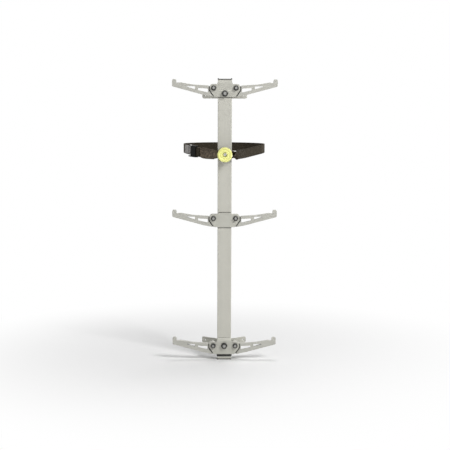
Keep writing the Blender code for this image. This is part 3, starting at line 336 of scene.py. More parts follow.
# ===================================================================== finishes
class Graph:
    """A material's nodes, added and linked in short calls."""

    def __init__(self, name: str) -> None:
        """Start a material that holds one Principled shader."""
        self.material = bpy.data.materials.new(name)
        self.material.use_nodes = True
        self.tree = self.material.node_tree
        self.shader = self.tree.nodes["Principled BSDF"]

    def set(self, **values: object) -> None:
        """Set the shader's own sockets, named with underscores for spaces."""
        for key, value in values.items():
            self.shader.inputs[key.replace("_", " ")].default_value = value

    def feed(self, socket: str, source: bpy.types.NodeSocket) -> None:
        """Link a result to one of the shader's sockets."""
        self.tree.links.new(source, self.shader.inputs[socket])

    def node(
        self, kind: str, inputs: dict[str | int, object], **settings: object
    ) -> bpy.types.Node:
        """Add a node.

        Args:
            kind: The node's type.
            inputs: Values or sockets for its inputs, by name or index.
            settings: The node's own properties.

        Returns:
            The node.
        """
        made = self.tree.nodes.new(kind)
        for key, value in settings.items():
            setattr(made, key, value)
        for key, value in inputs.items():
            if isinstance(value, bpy.types.NodeSocket):
                self.tree.links.new(value, made.inputs[key])
            else:
                made.inputs[key].default_value = value
        return made

    def place(self, scale: Point = (1, 1, 1), uv: bool = False) -> bpy.types.NodeSocket:
        """Coordinates on the object, or along its UV map, in metres times a scale."""
        source = self.node("ShaderNodeTexCoord", {}).outputs["UV" if uv else "Object"]
        return self.node("ShaderNodeMapping", {"Vector": source, "Scale": scale}).outputs[0]

    def noise(
        self, vector: bpy.types.NodeSocket, scale: float, detail: float = 3, rough: float = 0.55
    ) -> bpy.types.NodeSocket:
        """Fractal noise from 0 to 1."""
        inputs = {"Vector": vector, "Scale": scale, "Detail": detail, "Roughness": rough}
        return self.node("ShaderNodeTexNoise", inputs).outputs["Fac"]

    def wave(self, vector: bpy.types.NodeSocket, period: float, axis: str) -> bpy.types.NodeSocket:
        """Straight sine bands of a period along one axis, from 0 to 1."""
        scale = math.tau / (20 * period)
        inputs = {"Vector": vector, "Scale": scale, "Distortion": 0.0}
        return self.node("ShaderNodeTexWave", inputs, bands_direction=axis).outputs["Fac"]

    def ramp(
        self, value: bpy.types.NodeSocket, low: float, high: float, to: tuple[float, float] = (0, 1)
    ) -> bpy.types.NodeSocket:
        """Map a value from one range onto another, clamped."""
        inputs = {0: value, 1: low, 2: high, 3: to[0], 4: to[1]}
        return self.node("ShaderNodeMapRange", inputs, interpolation_type="SMOOTHSTEP").outputs[0]

    def math(self, operation: str, a: object, b: object = 0.0) -> bpy.types.NodeSocket:
        """One step of arithmetic."""
        return self.node("ShaderNodeMath", {0: a, 1: b}, operation=operation).outputs[0]

    def blend(self, share: object, a: object, b: object) -> bpy.types.NodeSocket:
        """Mix two colours by a share."""
        a, b = (c if isinstance(c, bpy.types.NodeSocket) else (*c, 1) for c in (a, b))
        inputs = {0: share, 6: a, 7: b}
        return self.node("ShaderNodeMix", inputs, data_type="RGBA").outputs[2]

    def bump(
        self, height: bpy.types.NodeSocket, depth: float, below: bpy.types.NodeSocket | None = None
    ) -> bpy.types.NodeSocket:
        """Relief of a depth in metres, over any relief below it."""
        inputs: dict[str | int, object] = {"Height": height, "Distance": depth, "Strength": 1.0}
        if below:
            inputs["Normal"] = below
        return self.node("ShaderNodeBump", inputs).outputs[0]

    def edges(self, low: float = 0.52, high: float = 0.6) -> bpy.types.NodeSocket:
        """Where the surface is sharply convex, from 0 to 1."""
        point = self.node("ShaderNodeNewGeometry", {}).outputs["Pointiness"]
        return self.ramp(point, low, high)

    def crevice_shade(self, depth: float, openness: tuple[float, float]) -> bpy.types.NodeSocket:
        """Painted shade: 1 deep in a gap and 0 on an open face, where shade falls.

        Args:
            depth: How far away a surface may be to hide another.
            openness: The shares of open sky where the painted shade is darkest and where it ends.

        Returns:
            The painted shade's share.
        """
        hidden = self.node("ShaderNodeAmbientOcclusion", {"Distance": depth}, samples=8)
        return self.ramp(hidden.outputs["AO"], *openness, (1, 0))


def shade(colour: Colour, factor: float) -> Colour:
    """A colour made lighter or darker by a factor."""
    return tuple(min(1.0, c * factor) for c in colour)


class Brush(Enum):
    """Which way a metal's fine drawing or brushing lines run."""

    NONE = (1.0, 1.0, 1.0)
    UP_THE_POST = (1.0, 1.0, 0.012)
    ALONG_THE_STEP = (0.03, 1.0, 1.0)


@dataclass(frozen=True)
class CoatedMetal:
    """Satin coated or bare aluminium, with grain, faint marks, bright edges and painted shade in
    its gaps.
    """

    name: str
    colour: Colour
    metallic: float
    roughness: float
    brush: Brush
    grain: float = 0.00004
    edge: float = 1.5
    shade_depth: float = 0.0045
    openness: tuple[float, float] = (0.38, 0.8)

    def make(self) -> bpy.types.Material:
        """Build the finish."""
        g = Graph(self.name)
        where = g.place()
        cloud = g.noise(where, 22, 3)
        speck = g.noise(where, 900, 2)
        tone = g.blend(cloud, shade(self.colour, 0.93), shade(self.colour, 1.06))
        tone = g.blend(g.ramp(speck, 0.35, 0.8, (0, 0.5)), tone, shade(self.colour, 0.86))
        scuffs = g.ramp(g.noise(g.place((1, 1, 0.35)), 160, 5, 0.7), 0.66, 0.74, (0, 0.22))
        tone = g.blend(scuffs, tone, shade(self.colour, 1.3))
        tone = g.blend(g.math("MULTIPLY", g.edges(), 0.8), tone, shade(self.colour, self.edge))
        # painted shade: the colour darkens towards a tenth of itself where nearby surfaces hide the
        # sky, in gaps, around nuts and under the plates' edges
        painted_shade = g.crevice_shade(self.shade_depth, self.openness)
        g.feed("Base Color", g.blend(painted_shade, tone, shade(self.colour, 0.1)))
        g.set(Metallic=self.metallic)
        low, high = self.roughness - 0.05, self.roughness + 0.08
        g.feed("Roughness", g.ramp(g.noise(where, 70, 4), 0.3, 0.75, (low, high)))
        relief = g.bump(g.noise(where, 1100, 2), self.grain)
        if self.brush is not Brush.NONE:
            lines = g.noise(g.place(self.brush.value), 1500, 3, 0.6)
            relief = g.bump(lines, self.grain * 0.8, relief)
        g.feed("Normal", relief)
        return g.material


@dataclass(frozen=True)
class PlatedSteel:
    """Zinc-plated or blackened steel, mottled, with worn edges."""

    name: str
    colour: Colour
    worn: Colour
    metallic: float
    roughness: float
    gloss: float = 0.5

    def make(self) -> bpy.types.Material:
        """Build the finish."""
        g = Graph(self.name)
        where = g.place()
        mottle = g.noise(where, 240, 4, 0.65)
        tone = g.blend(g.ramp(mottle, 0.3, 0.72), shade(self.colour, 0.8), shade(self.colour, 1.2))
        rub = g.math("MULTIPLY", g.edges(0.51, 0.58), g.ramp(mottle, 0.35, 0.65, (0.35, 1)))
        g.feed("Base Color", g.blend(rub, tone, self.worn))
        g.set(Metallic=self.metallic, Specular_IOR_Level=self.gloss)
        low, high = self.roughness - 0.07, self.roughness + 0.1
        g.feed("Roughness", g.ramp(g.noise(where, 500, 3), 0.3, 0.7, (low, high)))
        g.feed("Normal", g.bump(g.noise(where, 2600, 3), 0.00002))
        return g.material


@dataclass(frozen=True)
class Moulding:
    """Moulded plastic or rubber with a fine texture."""

    name: str
    colour: Colour
    roughness: float
    texture: float
    sheen: float = 0.0
    glow: float = 0.0

    def make(self) -> bpy.types.Material:
        """Build the finish."""
        g = Graph(self.name)
        where = g.place()
        cloud = g.noise(where, 60, 3)
        tone = g.blend(cloud, shade(self.colour, 0.94), shade(self.colour, 1.06))
        dust = g.ramp(g.noise(where, 330, 4, 0.7), 0.62, 0.76, (0, 0.16))
        tone = g.blend(dust, tone, tuple(0.75 * c + 0.2 for c in self.colour))
        g.feed("Base Color", tone)
        g.set(Sheen_Weight=self.sheen, Subsurface_Weight=self.glow)
        if self.glow:
            g.set(Subsurface_Radius=(0.004, 0.003, 0.001), Subsurface_Scale=0.5)
        low, high = self.roughness - 0.05, self.roughness + 0.07
        g.feed("Roughness", g.ramp(g.noise(where, 140, 3), 0.3, 0.7, (low, high)))
        g.feed("Normal", g.bump(g.noise(where, 1600, 3, 0.6), self.texture))
        return g.material


@dataclass(frozen=True)
class Weave:
    """Woven webbing: ribs across, yarns along and thicker selvages.

    The pattern follows the UV map, which holds metres across and along the strap.
    """

    name: str
    dark: Colour
    light: Colour
    width: float
    rib: float = 0.0019
    yarn: float = 0.0013
    selvage: tuple[float, float] = (0.0024, 0.0016)
    mottle: float = 0.3

    def make(self) -> bpy.types.Material:
        """Build the finish."""
        g = Graph(self.name)
        where = g.place(uv=True)
        across = g.wave(where, 2 * self.yarn, "X")
        along = g.wave(where, 2 * self.rib, "Y")
        a = g.math("SUBTRACT", g.math("MULTIPLY", across, 2.0), 1.0)
        b = g.math("SUBTRACT", g.math("MULTIPLY", along, 2.0), 1.0)
        cross = g.math("MULTIPLY", a, b)
        weave = g.math("ADD", g.math("MULTIPLY", cross, 0.5), 0.5)
        fuzz = g.noise(where, 2400, 3, 0.7)
        blot = g.noise(where, 130, 4, 0.6)
        place = g.node("ShaderNodeSeparateXYZ", {0: where}).outputs[0]
        off = g.math("ABSOLUTE", g.math("SUBTRACT", place, self.width / 2))
        begin, full = self.selvage
        selvage = g.ramp(off, self.width / 2 - begin, self.width / 2 - full)
        level = g.math("MULTIPLY", weave, g.ramp(fuzz, 0.25, 0.75, (0.55, 1.0)))
        patches = (1 - self.mottle, 1 + self.mottle / 2)
        level = g.math("MULTIPLY", level, g.ramp(blot, 0.35, 0.65, patches))
        tone = g.blend(level, self.dark, self.light)
        tone = g.blend(g.math("MULTIPLY", selvage, 0.45), tone, self.dark)
        g.feed("Base Color", tone)
        g.set(Sheen_Weight=0.12, Sheen_Tint=(1.0, 0.88, 0.7, 1.0), Specular_IOR_Level=0.15)
        g.feed("Roughness", g.ramp(fuzz, 0.3, 0.7, (0.72, 0.92)))
        relief = g.bump(weave, 0.00035)
        relief = g.bump(selvage, 0.0003, relief)
        g.feed("Normal", g.bump(fuzz, 0.00012, relief))
        return g.material


@dataclass(frozen=True)
class Thread:
    """Twisted sewing thread."""

    name: str
    colour: Colour

    def make(self) -> bpy.types.Material:
        """Build the finish."""
        g = Graph(self.name)
        where = g.place()
        twist = g.noise(where, 1800, 2)
        tone = g.blend(twist, shade(self.colour, 0.7), shade(self.colour, 1.25))
        g.feed("Base Color", tone)
        g.set(Sheen_Weight=0.3)
        g.feed("Roughness", g.ramp(twist, 0.3, 0.7, (0.6, 0.8)))
        g.feed("Normal", g.bump(twist, 0.0001))
        return g.material


class Slot(Enum):
    """The record's material slots."""

    STEP = "step_aluminium"
    COATED = "coated_aluminium"
    PLASTIC = "black_plastic"
    RUBBER = "black_rubber"
    NYLON = "nylon"
    YELLOW = "yellow_plastic"
    WEBBING = "webbing"
    BLACK_STEEL = "black_steel"
    ZINC = "zinc_steel"


Maker = CoatedMetal | PlatedSteel | Moulding | Weave | Thread


@dataclass
class Finishes:
    """Every finish on the stick, each made once."""

    post: Maker = CoatedMetal(
        "satin_post",
        (0.52, 0.512, 0.458),
        0.2,
        0.42,
        Brush.UP_THE_POST,
        # painted shade reaches further on the post, darkening it under the plates' lower edges
        shade_depth=0.007,
        openness=(0.55, 0.86),
    )
    plate: Maker = CoatedMetal("satin_plate", (0.51, 0.505, 0.45), 0.22, 0.40, Brush.NONE)
    step: Maker = CoatedMetal(
        "satin_step", (0.49, 0.485, 0.44), 0.2, 0.42, Brush.ALONG_THE_STEP
    )
    zinc: Maker = PlatedSteel("zinc_plate", (0.52, 0.52, 0.5), (0.7, 0.7, 0.68), 1.0, 0.34)
    black_nut: Maker = PlatedSteel(
        "blackened_steel", (0.012, 0.012, 0.012), (0.06, 0.06, 0.058), 0.4, 0.4
    )
    bolt_end: Maker = PlatedSteel(
        "dull_zinc", (0.26, 0.26, 0.25), (0.4, 0.4, 0.38), 0.9, 0.45
    )
    lever: Maker = PlatedSteel(
        "bright_lever", (0.075, 0.07, 0.066), (0.32, 0.31, 0.3), 1.0, 0.34
    )
    buckle: Maker = PlatedSteel(
        "black_buckle", (0.004, 0.0036, 0.0034), (0.03, 0.028, 0.026), 0.0, 0.55, 0.15
    )
    plastic: Maker = Moulding("black_moulding", (0.018, 0.018, 0.018), 0.5, 0.00004)
    rubber: Maker = Moulding("band_rubber", (0.012, 0.012, 0.012), 0.72, 0.00006, sheen=0.15)
    yellow: Maker = Moulding(
        "yellow_moulding", (0.89, 0.885, 0.31), 0.36, 0.00002, glow=0.06
    )
    nylon: Maker = Moulding("natural_nylon", (0.62, 0.6, 0.52), 0.45, 0.00002, glow=0.1)
    insert: Maker = Moulding("nut_insert", (0.05, 0.05, 0.048), 0.45, 0.00002)
    webbing: Maker = Weave(
        "strap_weave", (0.010, 0.0078, 0.0048), (0.062, 0.049, 0.03), 0.0254
    )
    worn_webbing: Maker = Weave(
        "worn_weave", (0.032, 0.025, 0.018), (0.42, 0.33, 0.24), 0.0254, mottle=0.6
    )
    thread: Maker = Thread("strap_thread", (0.14, 0.135, 0.12))
    made: dict[str, bpy.types.Material] = field(default_factory=dict)

    def get(self, which: str) -> bpy.types.Material:
        """The material of a finish, built on its first use."""
        if which not in self.made:
            self.made[which] = getattr(self, which).make()
        return self.made[which]


FINISHES = Finishes()


def dress(
    obj: bpy.types.Object,
    finish: str,
    slot: Slot,
    replaces: Sequence[str] = (),
    body: str = "stick",
    smooth: float = 30,
    weighted: bool = True,
) -> bpy.types.Object:
    """slot: Not used. The record's slot that the finish belongs to.
        replaces: The part's nodes that the piece stands for.
        body: The body that carries the piece.
        smooth: Edges sharper than this many degrees stay sharp.
        weighted: Whether large faces set the shading of their rounded edges.

    Returns:
        The piece.
    """
    obj.data.materials.clear()
    obj.data.materials.append(FINISHES.get(finish))
    select_only(obj)
    bpy.ops.object.shade_smooth_by_angle(angle=math.radians(smooth))
    if weighted:
        apply_modifier(obj, "WEIGHTED_NORMAL", keep_sharp=True, weight=80)
    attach(obj, body)
    if replaces:
        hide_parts(*replaces)
    log.info("%s rides on %s", obj.name, body)
    return obj


def paint(node: str, finish: str) -> None:
    """Give one of the part's own nodes a detailed finish."""
    obj = frame["nodes"][node]
    obj.data.materials.clear()
    obj.data.materials.append(FINISHES.get(finish))
    log.info("%s keeps its own shape", node)


# ======================================================================= places
@dataclass(frozen=True)
class Places:
    """Heights and depths shared by the sub-assemblies, in metres."""

    gap: float = 0.0003
    clearance: float = 0.0003
    centre_bolt_hole: float = 0.0053
    post_width: float = 0.0405
    post_depth: float = 0.019
    plate_thickness: float = 0.004
    standoff_thickness: float = 0.003
    standoff_rise: float = 0.036
    post_bottom: float = -0.040
    post_top: float = 0.7722
    pivot_offset: float = 0.032
    upper_bolt_z: float = 0.7324
    button_z: float = 0.559
    levels: tuple[tuple[str, float], ...] = (
        ("lower", 0.0),
        ("middle", 0.374),
        ("upper", 0.748),
    )

    @property
    def web_back(self) -> float:
        """The standoff's face towards the tree."""
        return -self.standoff_rise

    @property
    def back_plate(self) -> float:
        """The back plate's face towards the tree."""
        return self.web_back - self.standoff_thickness - self.gap

    @property
    def post_back(self) -> float:
        """The post's face towards the tree."""
        return self.back_plate - self.plate_thickness - self.gap

    @property
    def post_front(self) -> float:
        """The post's face away from the tree."""
        return self.post_back - self.post_depth

    @property
    def front_plate(self) -> float:
        """The front plate's face towards the tree."""
        return self.post_front - self.gap

    @property
    def nut_seat(self) -> float:
        """Where the nuts sit, just off the front plate."""
        return self.front_plate - self.plate_thickness - self.gap

    @property
    def centre_bolts(self) -> tuple[tuple[str, float], ...]:
        """The brackets that have a centre bolt, with its height."""
        return (("lower", 0.0), ("upper", self.upper_bolt_z))


AT = Places()
SIDES = (("left", -1), ("right", 1))


# ========================================================================= post
@dataclass
class Post:
    """The rectangular tube with its end plugs and rubber band."""

    wall: float = 0.002
    corner: float = 0.0025
    inner_corner: float = 0.0005
    rim: float = 0.00035
    screw_hole: float = 0.0033

    def outline(self, width: float, depth: float, radius: float) -> Outline:
        """A rounded rectangle in plan, centred on the post."""
        x, y = width / 2, depth / 2
        middle = (AT.post_back + AT.post_front) / 2
        corners = [(-x, middle - y), (x, middle - y), (x, middle + y), (-x, middle + y)]
        return rounded([(*c, radius) for c in corners], 11)

    def build(self) -> None:
        """Model and dress the tube, the plugs and the band."""
        ends = (AT.post_bottom, AT.post_top)
        tube = blank(
            "post_tube",
            self.outline(AT.post_width, AT.post_depth, self.corner),
            *ends,
            plan_view,
        )
        inside = self.outline(
            AT.post_width - 2 * self.wall, AT.post_depth - 2 * self.wall, self.inner_corner
        )
        carve(tube, blank("hollow", inside, ends[0] - 0.01, ends[1] + 0.01, plan_view))
        for _, z in AT.centre_bolts:
            bore(tube, 0, z, AT.centre_bolt_hole)
        front = Vector((0, AT.post_front - 0.005, AT.button_z))
        carve(tube, bar("drill", self.screw_hole, (front, front + Vector((0, 0.01, 0)))))
        soften(tube, self.rim)
        dress(tube, "post", Slot.COATED, ["post"])
        for name in ("top_end_cap", "bottom_end_cap"):
            cap = refined(name, f"{name}_plug", 0.0003)
            dress(cap, "plastic", Slot.PLASTIC, [name])
        band = refined("post_band", "rubber_band", 0.0004)
        dress(band, "rubber", Slot.RUBBER, ["post_band"])


def refined(node: str, name: str, edge: float, angle: float = 38) -> bpy.types.Object:
    """Copy a node's shape, merge it, clear its flat faces and round its edges.

    Args:
        node: The part's node.
        name: The new piece's name.
        edge: Width of the rounding.
        angle: Edges sharper than this many degrees are rounded.

    Returns:
        The new piece.
    """
    obj = bpy.data.objects.new(name, frame["nodes"][node].data.copy())
    bpy.context.scene.collection.objects.link(obj)
    obj.data.name = name
    with editing(obj):
        bpy.ops.mesh.customdata_custom_splitnormals_clear()
        bpy.ops.mesh.remove_doubles(threshold=2e-6)
        bpy.ops.mesh.dissolve_limited(angle_limit=math.radians(0.6))
    soften(obj, edge, angle=angle)
    return obj


# ===================================================================== brackets
@dataclass
class Plates:
    """The front and back plates of the three brackets."""

    margin: float = 0.0115
    shoulder: float = 0.006
    drop: float = 0.0255
    foot_width: float = 0.059
    tab_width: float = 0.0385
    tab_height: float = 0.0045
    end_tab_height: float = 0.011
    tab_top: float = 0.0008
    pivot_hole: float = 0.0043
    edge: float = 0.0009

    def outline(self, tab_height: float) -> Outline:
        """The plate's outline about its pivots' height, with a tab or none."""
        side = AT.pivot_offset + self.margin
        foot = self.foot_width / 2
        corners = [
            (-foot, -self.drop, 0.003),
            (foot, -self.drop, 0.003),
            (side, -self.shoulder, 0.006),
            (side, self.margin, self.margin),
        ]
        if tab_height:
            half = self.tab_width / 2
            top = self.margin + tab_height
            corners += [
                (half + 0.003, self.margin, 0),
                (half, top, 0.0015),
                (-half, top, 0.0015),
                (-half - 0.003, self.margin, 0),
            ]
        corners += [(-side, self.margin, self.margin), (-side, -self.shoulder, 0.006)]
        return rounded(corners)

    def slope(self, plate: bpy.types.Object) -> None:
        """Cut a tab's face back to the post, from the plate's face to its top."""
        face = AT.front_plate - AT.plate_thickness
        low = Vector((face, self.margin + self.tab_height))
        high = Vector((AT.front_plate - self.tab_top, self.margin + self.end_tab_height))
        along = (high - low).normalized() * AT.plate_thickness
        away = Vector((-along.y, along.x)) * 2
        wedge = [low - along, high + along, high + along + away, low - along + away]
        carve(plate, blank("wedge", wedge, -self.tab_width, self.tab_width, side_view))

    def pattern(self, front: bool, end: bool) -> bpy.types.Object:
        """One plate with its pivot holes, at height 0.

        Args:
            front: Whether the plate lies on the post's front.
            end: Whether it belongs to the lower or upper bracket.
        """
        rear = AT.front_plate if front else AT.back_plate
        tab = (self.end_tab_height if end else self.tab_height) if front else 0.0
        ends = (rear, rear - AT.plate_thickness)
        plate = blank("plate_pattern", self.outline(tab), *ends, front_view)
        if front and end:
            self.slope(plate)
        for _, sign in SIDES:
            bore(plate, sign * AT.pivot_offset, 0, self.pivot_hole)
        return plate

    def build(self) -> None:
        """Model each kind of plate once, and copy it to its levels."""
        bolts = dict(AT.centre_bolts)
        for face, end in (("front", True), ("front", False), ("back", True), ("back", False)):
            pattern = self.pattern(face == "front", end)
            for level, z in AT.levels:
                if (level in bolts) != end:
                    continue
                name = f"{level}_{face}_plate"
                plate = copy_to(pattern, f"{name}_blank", Vector((0, 0, z)))
                if end:
                    bore(plate, 0, bolts[level], AT.centre_bolt_hole)
                soften(plate, self.edge, 3)
                dress(plate, "plate", Slot.COATED, [name])
            discard(pattern)


@dataclass
class Standoff:
    """The V bracket of bent strip that bears on the tree."""

    height: float = 0.028
    web_width: float = 0.024
    spread: float = 0.128
    bend: float = 0.0015
    hole: float = 0.005
    hole_inset: float = 0.0111
    end_margin: float = 0.001
    narrowing: tuple[float, float] = (0.021, 0.043)
    narrowing_bend: float = 0.010
    tip_height: float = 0.018
    corner: float = 0.005
    edge: float = 0.00035

    def outline(self) -> Outline:
        """The strip in plan: a flat web and two wings, with rounded bends."""
        web, tip = self.web_width / 2, self.spread / 2
        wing = Vector((tip - web, AT.standoff_rise)).normalized()
        inward = Vector((wing.y, -wing.x)) * AT.standoff_thickness
        lean = math.atan2(wing.y, wing.x)
        bend = web + AT.standoff_thickness * math.tan(lean / 2)
        front = AT.web_back - AT.standoff_thickness
        outer = self.bend + AT.standoff_thickness
        right = [
            (bend, front, outer),
            (tip + inward.x, inward.y, 0),
            (tip, 0, 0),
            (web, AT.web_back, self.bend),
        ]
        left = [(-x, y, radius) for x, y, radius in reversed(right)]
        return rounded(right + left, 6)

    def profile(self, side: int) -> Outline:
        """The bracket from the front: its wings narrow, but keep one edge level.

        Args:
            side: 1 to keep the upper edge and -1 to keep the lower one.
        """
        end = self.spread / 2 + self.end_margin
        kept, far = side * self.height / 2, -side * self.height / 2
        near = kept - side * self.tip_height
        start, stop = self.narrowing
        half = [(start, far, self.narrowing_bend), (stop, near, self.narrowing_bend)]
        half += [(end, near, self.corner), (end, kept, self.corner)]
        return rounded(half + [(-x, z, radius) for x, z, radius in reversed(half)])

    def shape(self, side: int) -> bpy.types.Object:
        """One standoff at height 0, with its narrowed wings and three holes."""
        strip = blank(
            "standoff_strip", self.outline(), -self.height, self.height, plan_view
        )
        reach = (AT.web_back - 2 * AT.standoff_thickness, AT.standoff_thickness)
        keep = blank("wing_profile", self.profile(side), *reach, front_view)
        carve(strip, keep, "INTERSECT")
        bore(strip, 0, 0, AT.centre_bolt_hole)
        tip = self.spread / 2
        lean = math.atan2(AT.standoff_rise, tip - self.web_width / 2)
        rise = side * (self.height - self.tip_height) / 2
        for _, sign in SIDES:
            x = sign * (tip - self.hole_inset * math.cos(lean))
            middle = Vector((x, -self.hole_inset * math.sin(lean), rise))
            way = Vector((-sign * math.sin(lean), math.cos(lean), 0)) * 0.008
            carve(strip, bar("drill", self.hole / 2, (middle - way, middle + way)))
        soften(strip, self.edge)
        return strip

    def build(self) -> None:
        """Model the bracket the right way up for each bolt, and move it there."""
        for level, z in AT.centre_bolts:
            shape = self.shape(-1 if z > AT.button_z else 1)
            made = copy_to(shape, f"{level}_bearing_bracket", Vector((0, 0, z)))
            dress(made, "plate", Slot.COATED, [f"{level}_standoff"])
            discard(shape)


# ======================================================================== steps
@dataclass
class Step:
    """A folding step: a tongue between the plates, and a slotted, hooked body."""

    reach: float = 0.119
    hook_thickness: float = 0.0125
    hook_top: float = 0.025
    hook_foot: float = 0.0147
    hook_corner: float = 0.0052
    hump: tuple[float, float] = (0.0945, 0.0158)
    tread: tuple[float, float] = (0.0588, 0.0098)
    tread_root: float = 0.0072
    shoulder_gap: float = 0.003
    tongue_inset: float = 0.0004
    nose_bottom: float = 0.0043
    belly: tuple[float, float] = (0.054, -0.013)
    turn_up: tuple[float, float] = (0.029, -0.0198)
    root_drop: float = 0.0252
    root_radius: float = 0.0107
    inner_slot: tuple[float, float] = (0.0167, 0.0446)
    outer_slot: tuple[float, float] = (0.0536, 0.077)
    slot_land: float = 0.009
    outer_top: float = 0.0046
    outer_height: float = 0.0081
    slot_corner: float = 0.0012
    bushing_hole: float = 0.0063
    body_depth: float = 0.010
    body_edge: float = 0.0009
    tongue_edge: float = 0.0004
    play: float = 0.0003

    @property
    def shoulder(self) -> float:
        """The body's upright inner edge, just past the plates' sides."""
        return Plates.margin + self.shoulder_gap

    @property
    def slope(self) -> float:
        """Rise per metre from the root to the belly, under the inner slot."""
        return (self.root_drop + self.belly[1]) / self.belly[0]

    def tongue_outline(self) -> Outline:
        """The right-hand tongue's outline from its pivot."""
        heel = AT.pivot_offset - AT.post_width / 2 - AT.gap
        bottom = -self.root_drop + self.tongue_inset
        end = (self.shoulder + self.inner_slot[0]) / 2
        lower = rounded(
            [
                (-heel, -self.root_radius * 0.4, 0),
                (-heel, bottom, 0.0015),
                (0, bottom, 0.006),
                (end, bottom + self.slope * end, 0),
                (end, self.tread_root / 2, 0),
            ]
        )
        turns = [math.radians(60 + 7.5 * k) for k in range(17)]
        root = [self.root_radius * Vector((math.cos(a), math.sin(a))) for a in turns]
        return lower + root

    def body_outline(self) -> Outline:
        """The right-hand body's outline from its pivot.

        Its inner edge follows the plates' sides, a shoulder gap away.
        """
        low = Vector((Plates.foot_width / 2 - AT.pivot_offset, -Plates.drop))
        high = Vector((Plates.margin, -Plates.shoulder))
        along = (high - low).normalized()
        edge = high + self.shoulder_gap * Vector((along.y, -along.x))
        bend = edge + along * ((self.shoulder - edge.x) / along.x)
        foot = edge + along * ((-self.root_drop - edge.y) / along.y)
        inner = self.reach - self.hook_thickness
        return rounded(
            [
                (*foot, 0.001),
                (*self.turn_up, 0.030),
                (*self.belly, 0.060),
                (self.reach, self.nose_bottom, 0.004),
                (self.reach, self.hook_top, self.hook_corner),
                (inner, self.hook_top, self.hook_corner),
                (inner, self.hook_foot, 0.0012),
                (*self.hump, 0.008),
                (*self.tread, 0.060),
                (self.shoulder, self.tread_root, 0.0015),
                (*bend, 0.004),
            ]
        )

    def slots(self) -> tuple[Outline, Outline]:
        """The outlines of the two lightening slots."""
        rise = (self.tread[1] - self.tread_root) / (self.tread[0] - self.shoulder)
        radius = self.slot_corner
        ends = []
        for reach in self.inner_slot:
            top = self.tread_root + rise * (reach - self.shoulder) - self.slot_land
            ends.append((top, -self.root_drop + self.slope * reach + self.slot_land))
        near, far = self.inner_slot
        inner = [
            (near, ends[0][0], radius),
            (near, ends[0][1], radius),
            (far, ends[1][1], radius),
            (far, ends[1][0], radius),
        ]
        wide, tip = self.outer_slot
        outer = [
            (wide, self.outer_top, radius),
            (wide, self.outer_top - self.outer_height, radius),
            (tip, self.outer_top - radius / 2, 0),
            (tip, self.outer_top + radius / 2, 0),
        ]
        return rounded(inner, 15), rounded(outer, 15)

    def pattern(self) -> bpy.types.Object:
        """The right-hand step with its pivot at the origin."""
        near = AT.post_back + AT.gap - self.play
        far = AT.post_front - AT.gap + self.play
        step = blank("step_pattern", self.tongue_outline(), near, far, front_view)
        soften(step, self.tongue_edge)
        bore(step, 0, 0, self.bushing_hole)
        front = AT.front_plate - AT.plate_thickness
        back = front + self.body_depth
        body = blank("step_body", self.body_outline(), back, front, front_view)
        for slot in self.slots():
            carve(body, blank("slot", slot, back + 0.01, front - 0.01, front_view))
        soften(body, self.body_edge, 3)
        carve(step, body, "UNION")
        return step

    def build(self) -> None:
        """Model one step, and copy or mirror it to the six pivots."""
        pattern = self.pattern()
        for level, z in AT.levels:
            for label, sign in SIDES:
                name = f"{level}_{label}_step"
                offset = Vector((sign * AT.pivot_offset, 0, z))
                made = copy_to(pattern, f"{name}_casting", offset, mirror=sign < 0)
                dress(made, "step", Slot.STEP, [name], body=name)
        discard(pattern)


# ==================================================================== fasteners
@dataclass
class LockNut:
    """A chamfered hexagon nut with a locking insert, facing away from the tree."""

    bore: float
    flats: float
    height: float
    collar: float = 0.3

    def pattern(self) -> tuple[bpy.types.Object, bpy.types.Object]:
        """The nut and its insert, seated at Y 0 and rising towards -Y."""
        corner = self.flats / math.sqrt(3)
        hex_height = self.height * (1 - self.collar)
        body = bar(
            "nut_pattern", corner, (Vector((0, 0, 0)), Vector((0, -hex_height, 0))), sides=6
        )
        body.data.transform(Matrix.Rotation(math.radians(30), 4, "Y"))
        cut = corner - self.flats / 2
        lathe = [
            (0, 0.0),
            (corner - cut * 0.8, 0.0),
            (corner + 0.0001, -cut * 0.55),
            (corner + 0.0001, -hex_height + cut * 0.6),
            (corner - cut * 1.1, -hex_height),
            (0, -hex_height),
        ]
        carve(body, turned("chamfer", lathe, False, 72), "INTERSECT")
        wall = self.flats * 0.46
        dome = self.height
        inside = self.bore / 2 + AT.clearance
        ring = [
            (inside + 0.0004, -hex_height * 0.5),
            (wall, -hex_height * 0.5),
            (wall, -dome * 0.86),
            (wall * 0.975, -dome * 0.95),
            (wall * 0.92, -dome),
            (wall * 0.83, -dome),
            (wall * 0.79, -dome * 0.97),
            (inside + 0.0004, -dome * 0.97),
        ]
        carve(body, turned("collar", ring, True, 72), "UNION")
        carve(
            body, bar("drill", inside, (Vector((0, 0.01, 0)), Vector((0, -0.03, 0))), 40)
        )
        soften(body, 0.00018, 2, 50)
        insert = turned(
            "insert_pattern",
            [
                (inside - 0.0001, -dome * 0.74),
                (inside + 0.0009, -dome * 0.74),
                (inside + 0.0009, -dome * 0.985),
                (inside + 0.0006, -dome),
                (inside + 0.0001, -dome),
                (inside - 0.0001, -dome * 0.985),
            ],
            True,
            40,
        )
        return body, insert


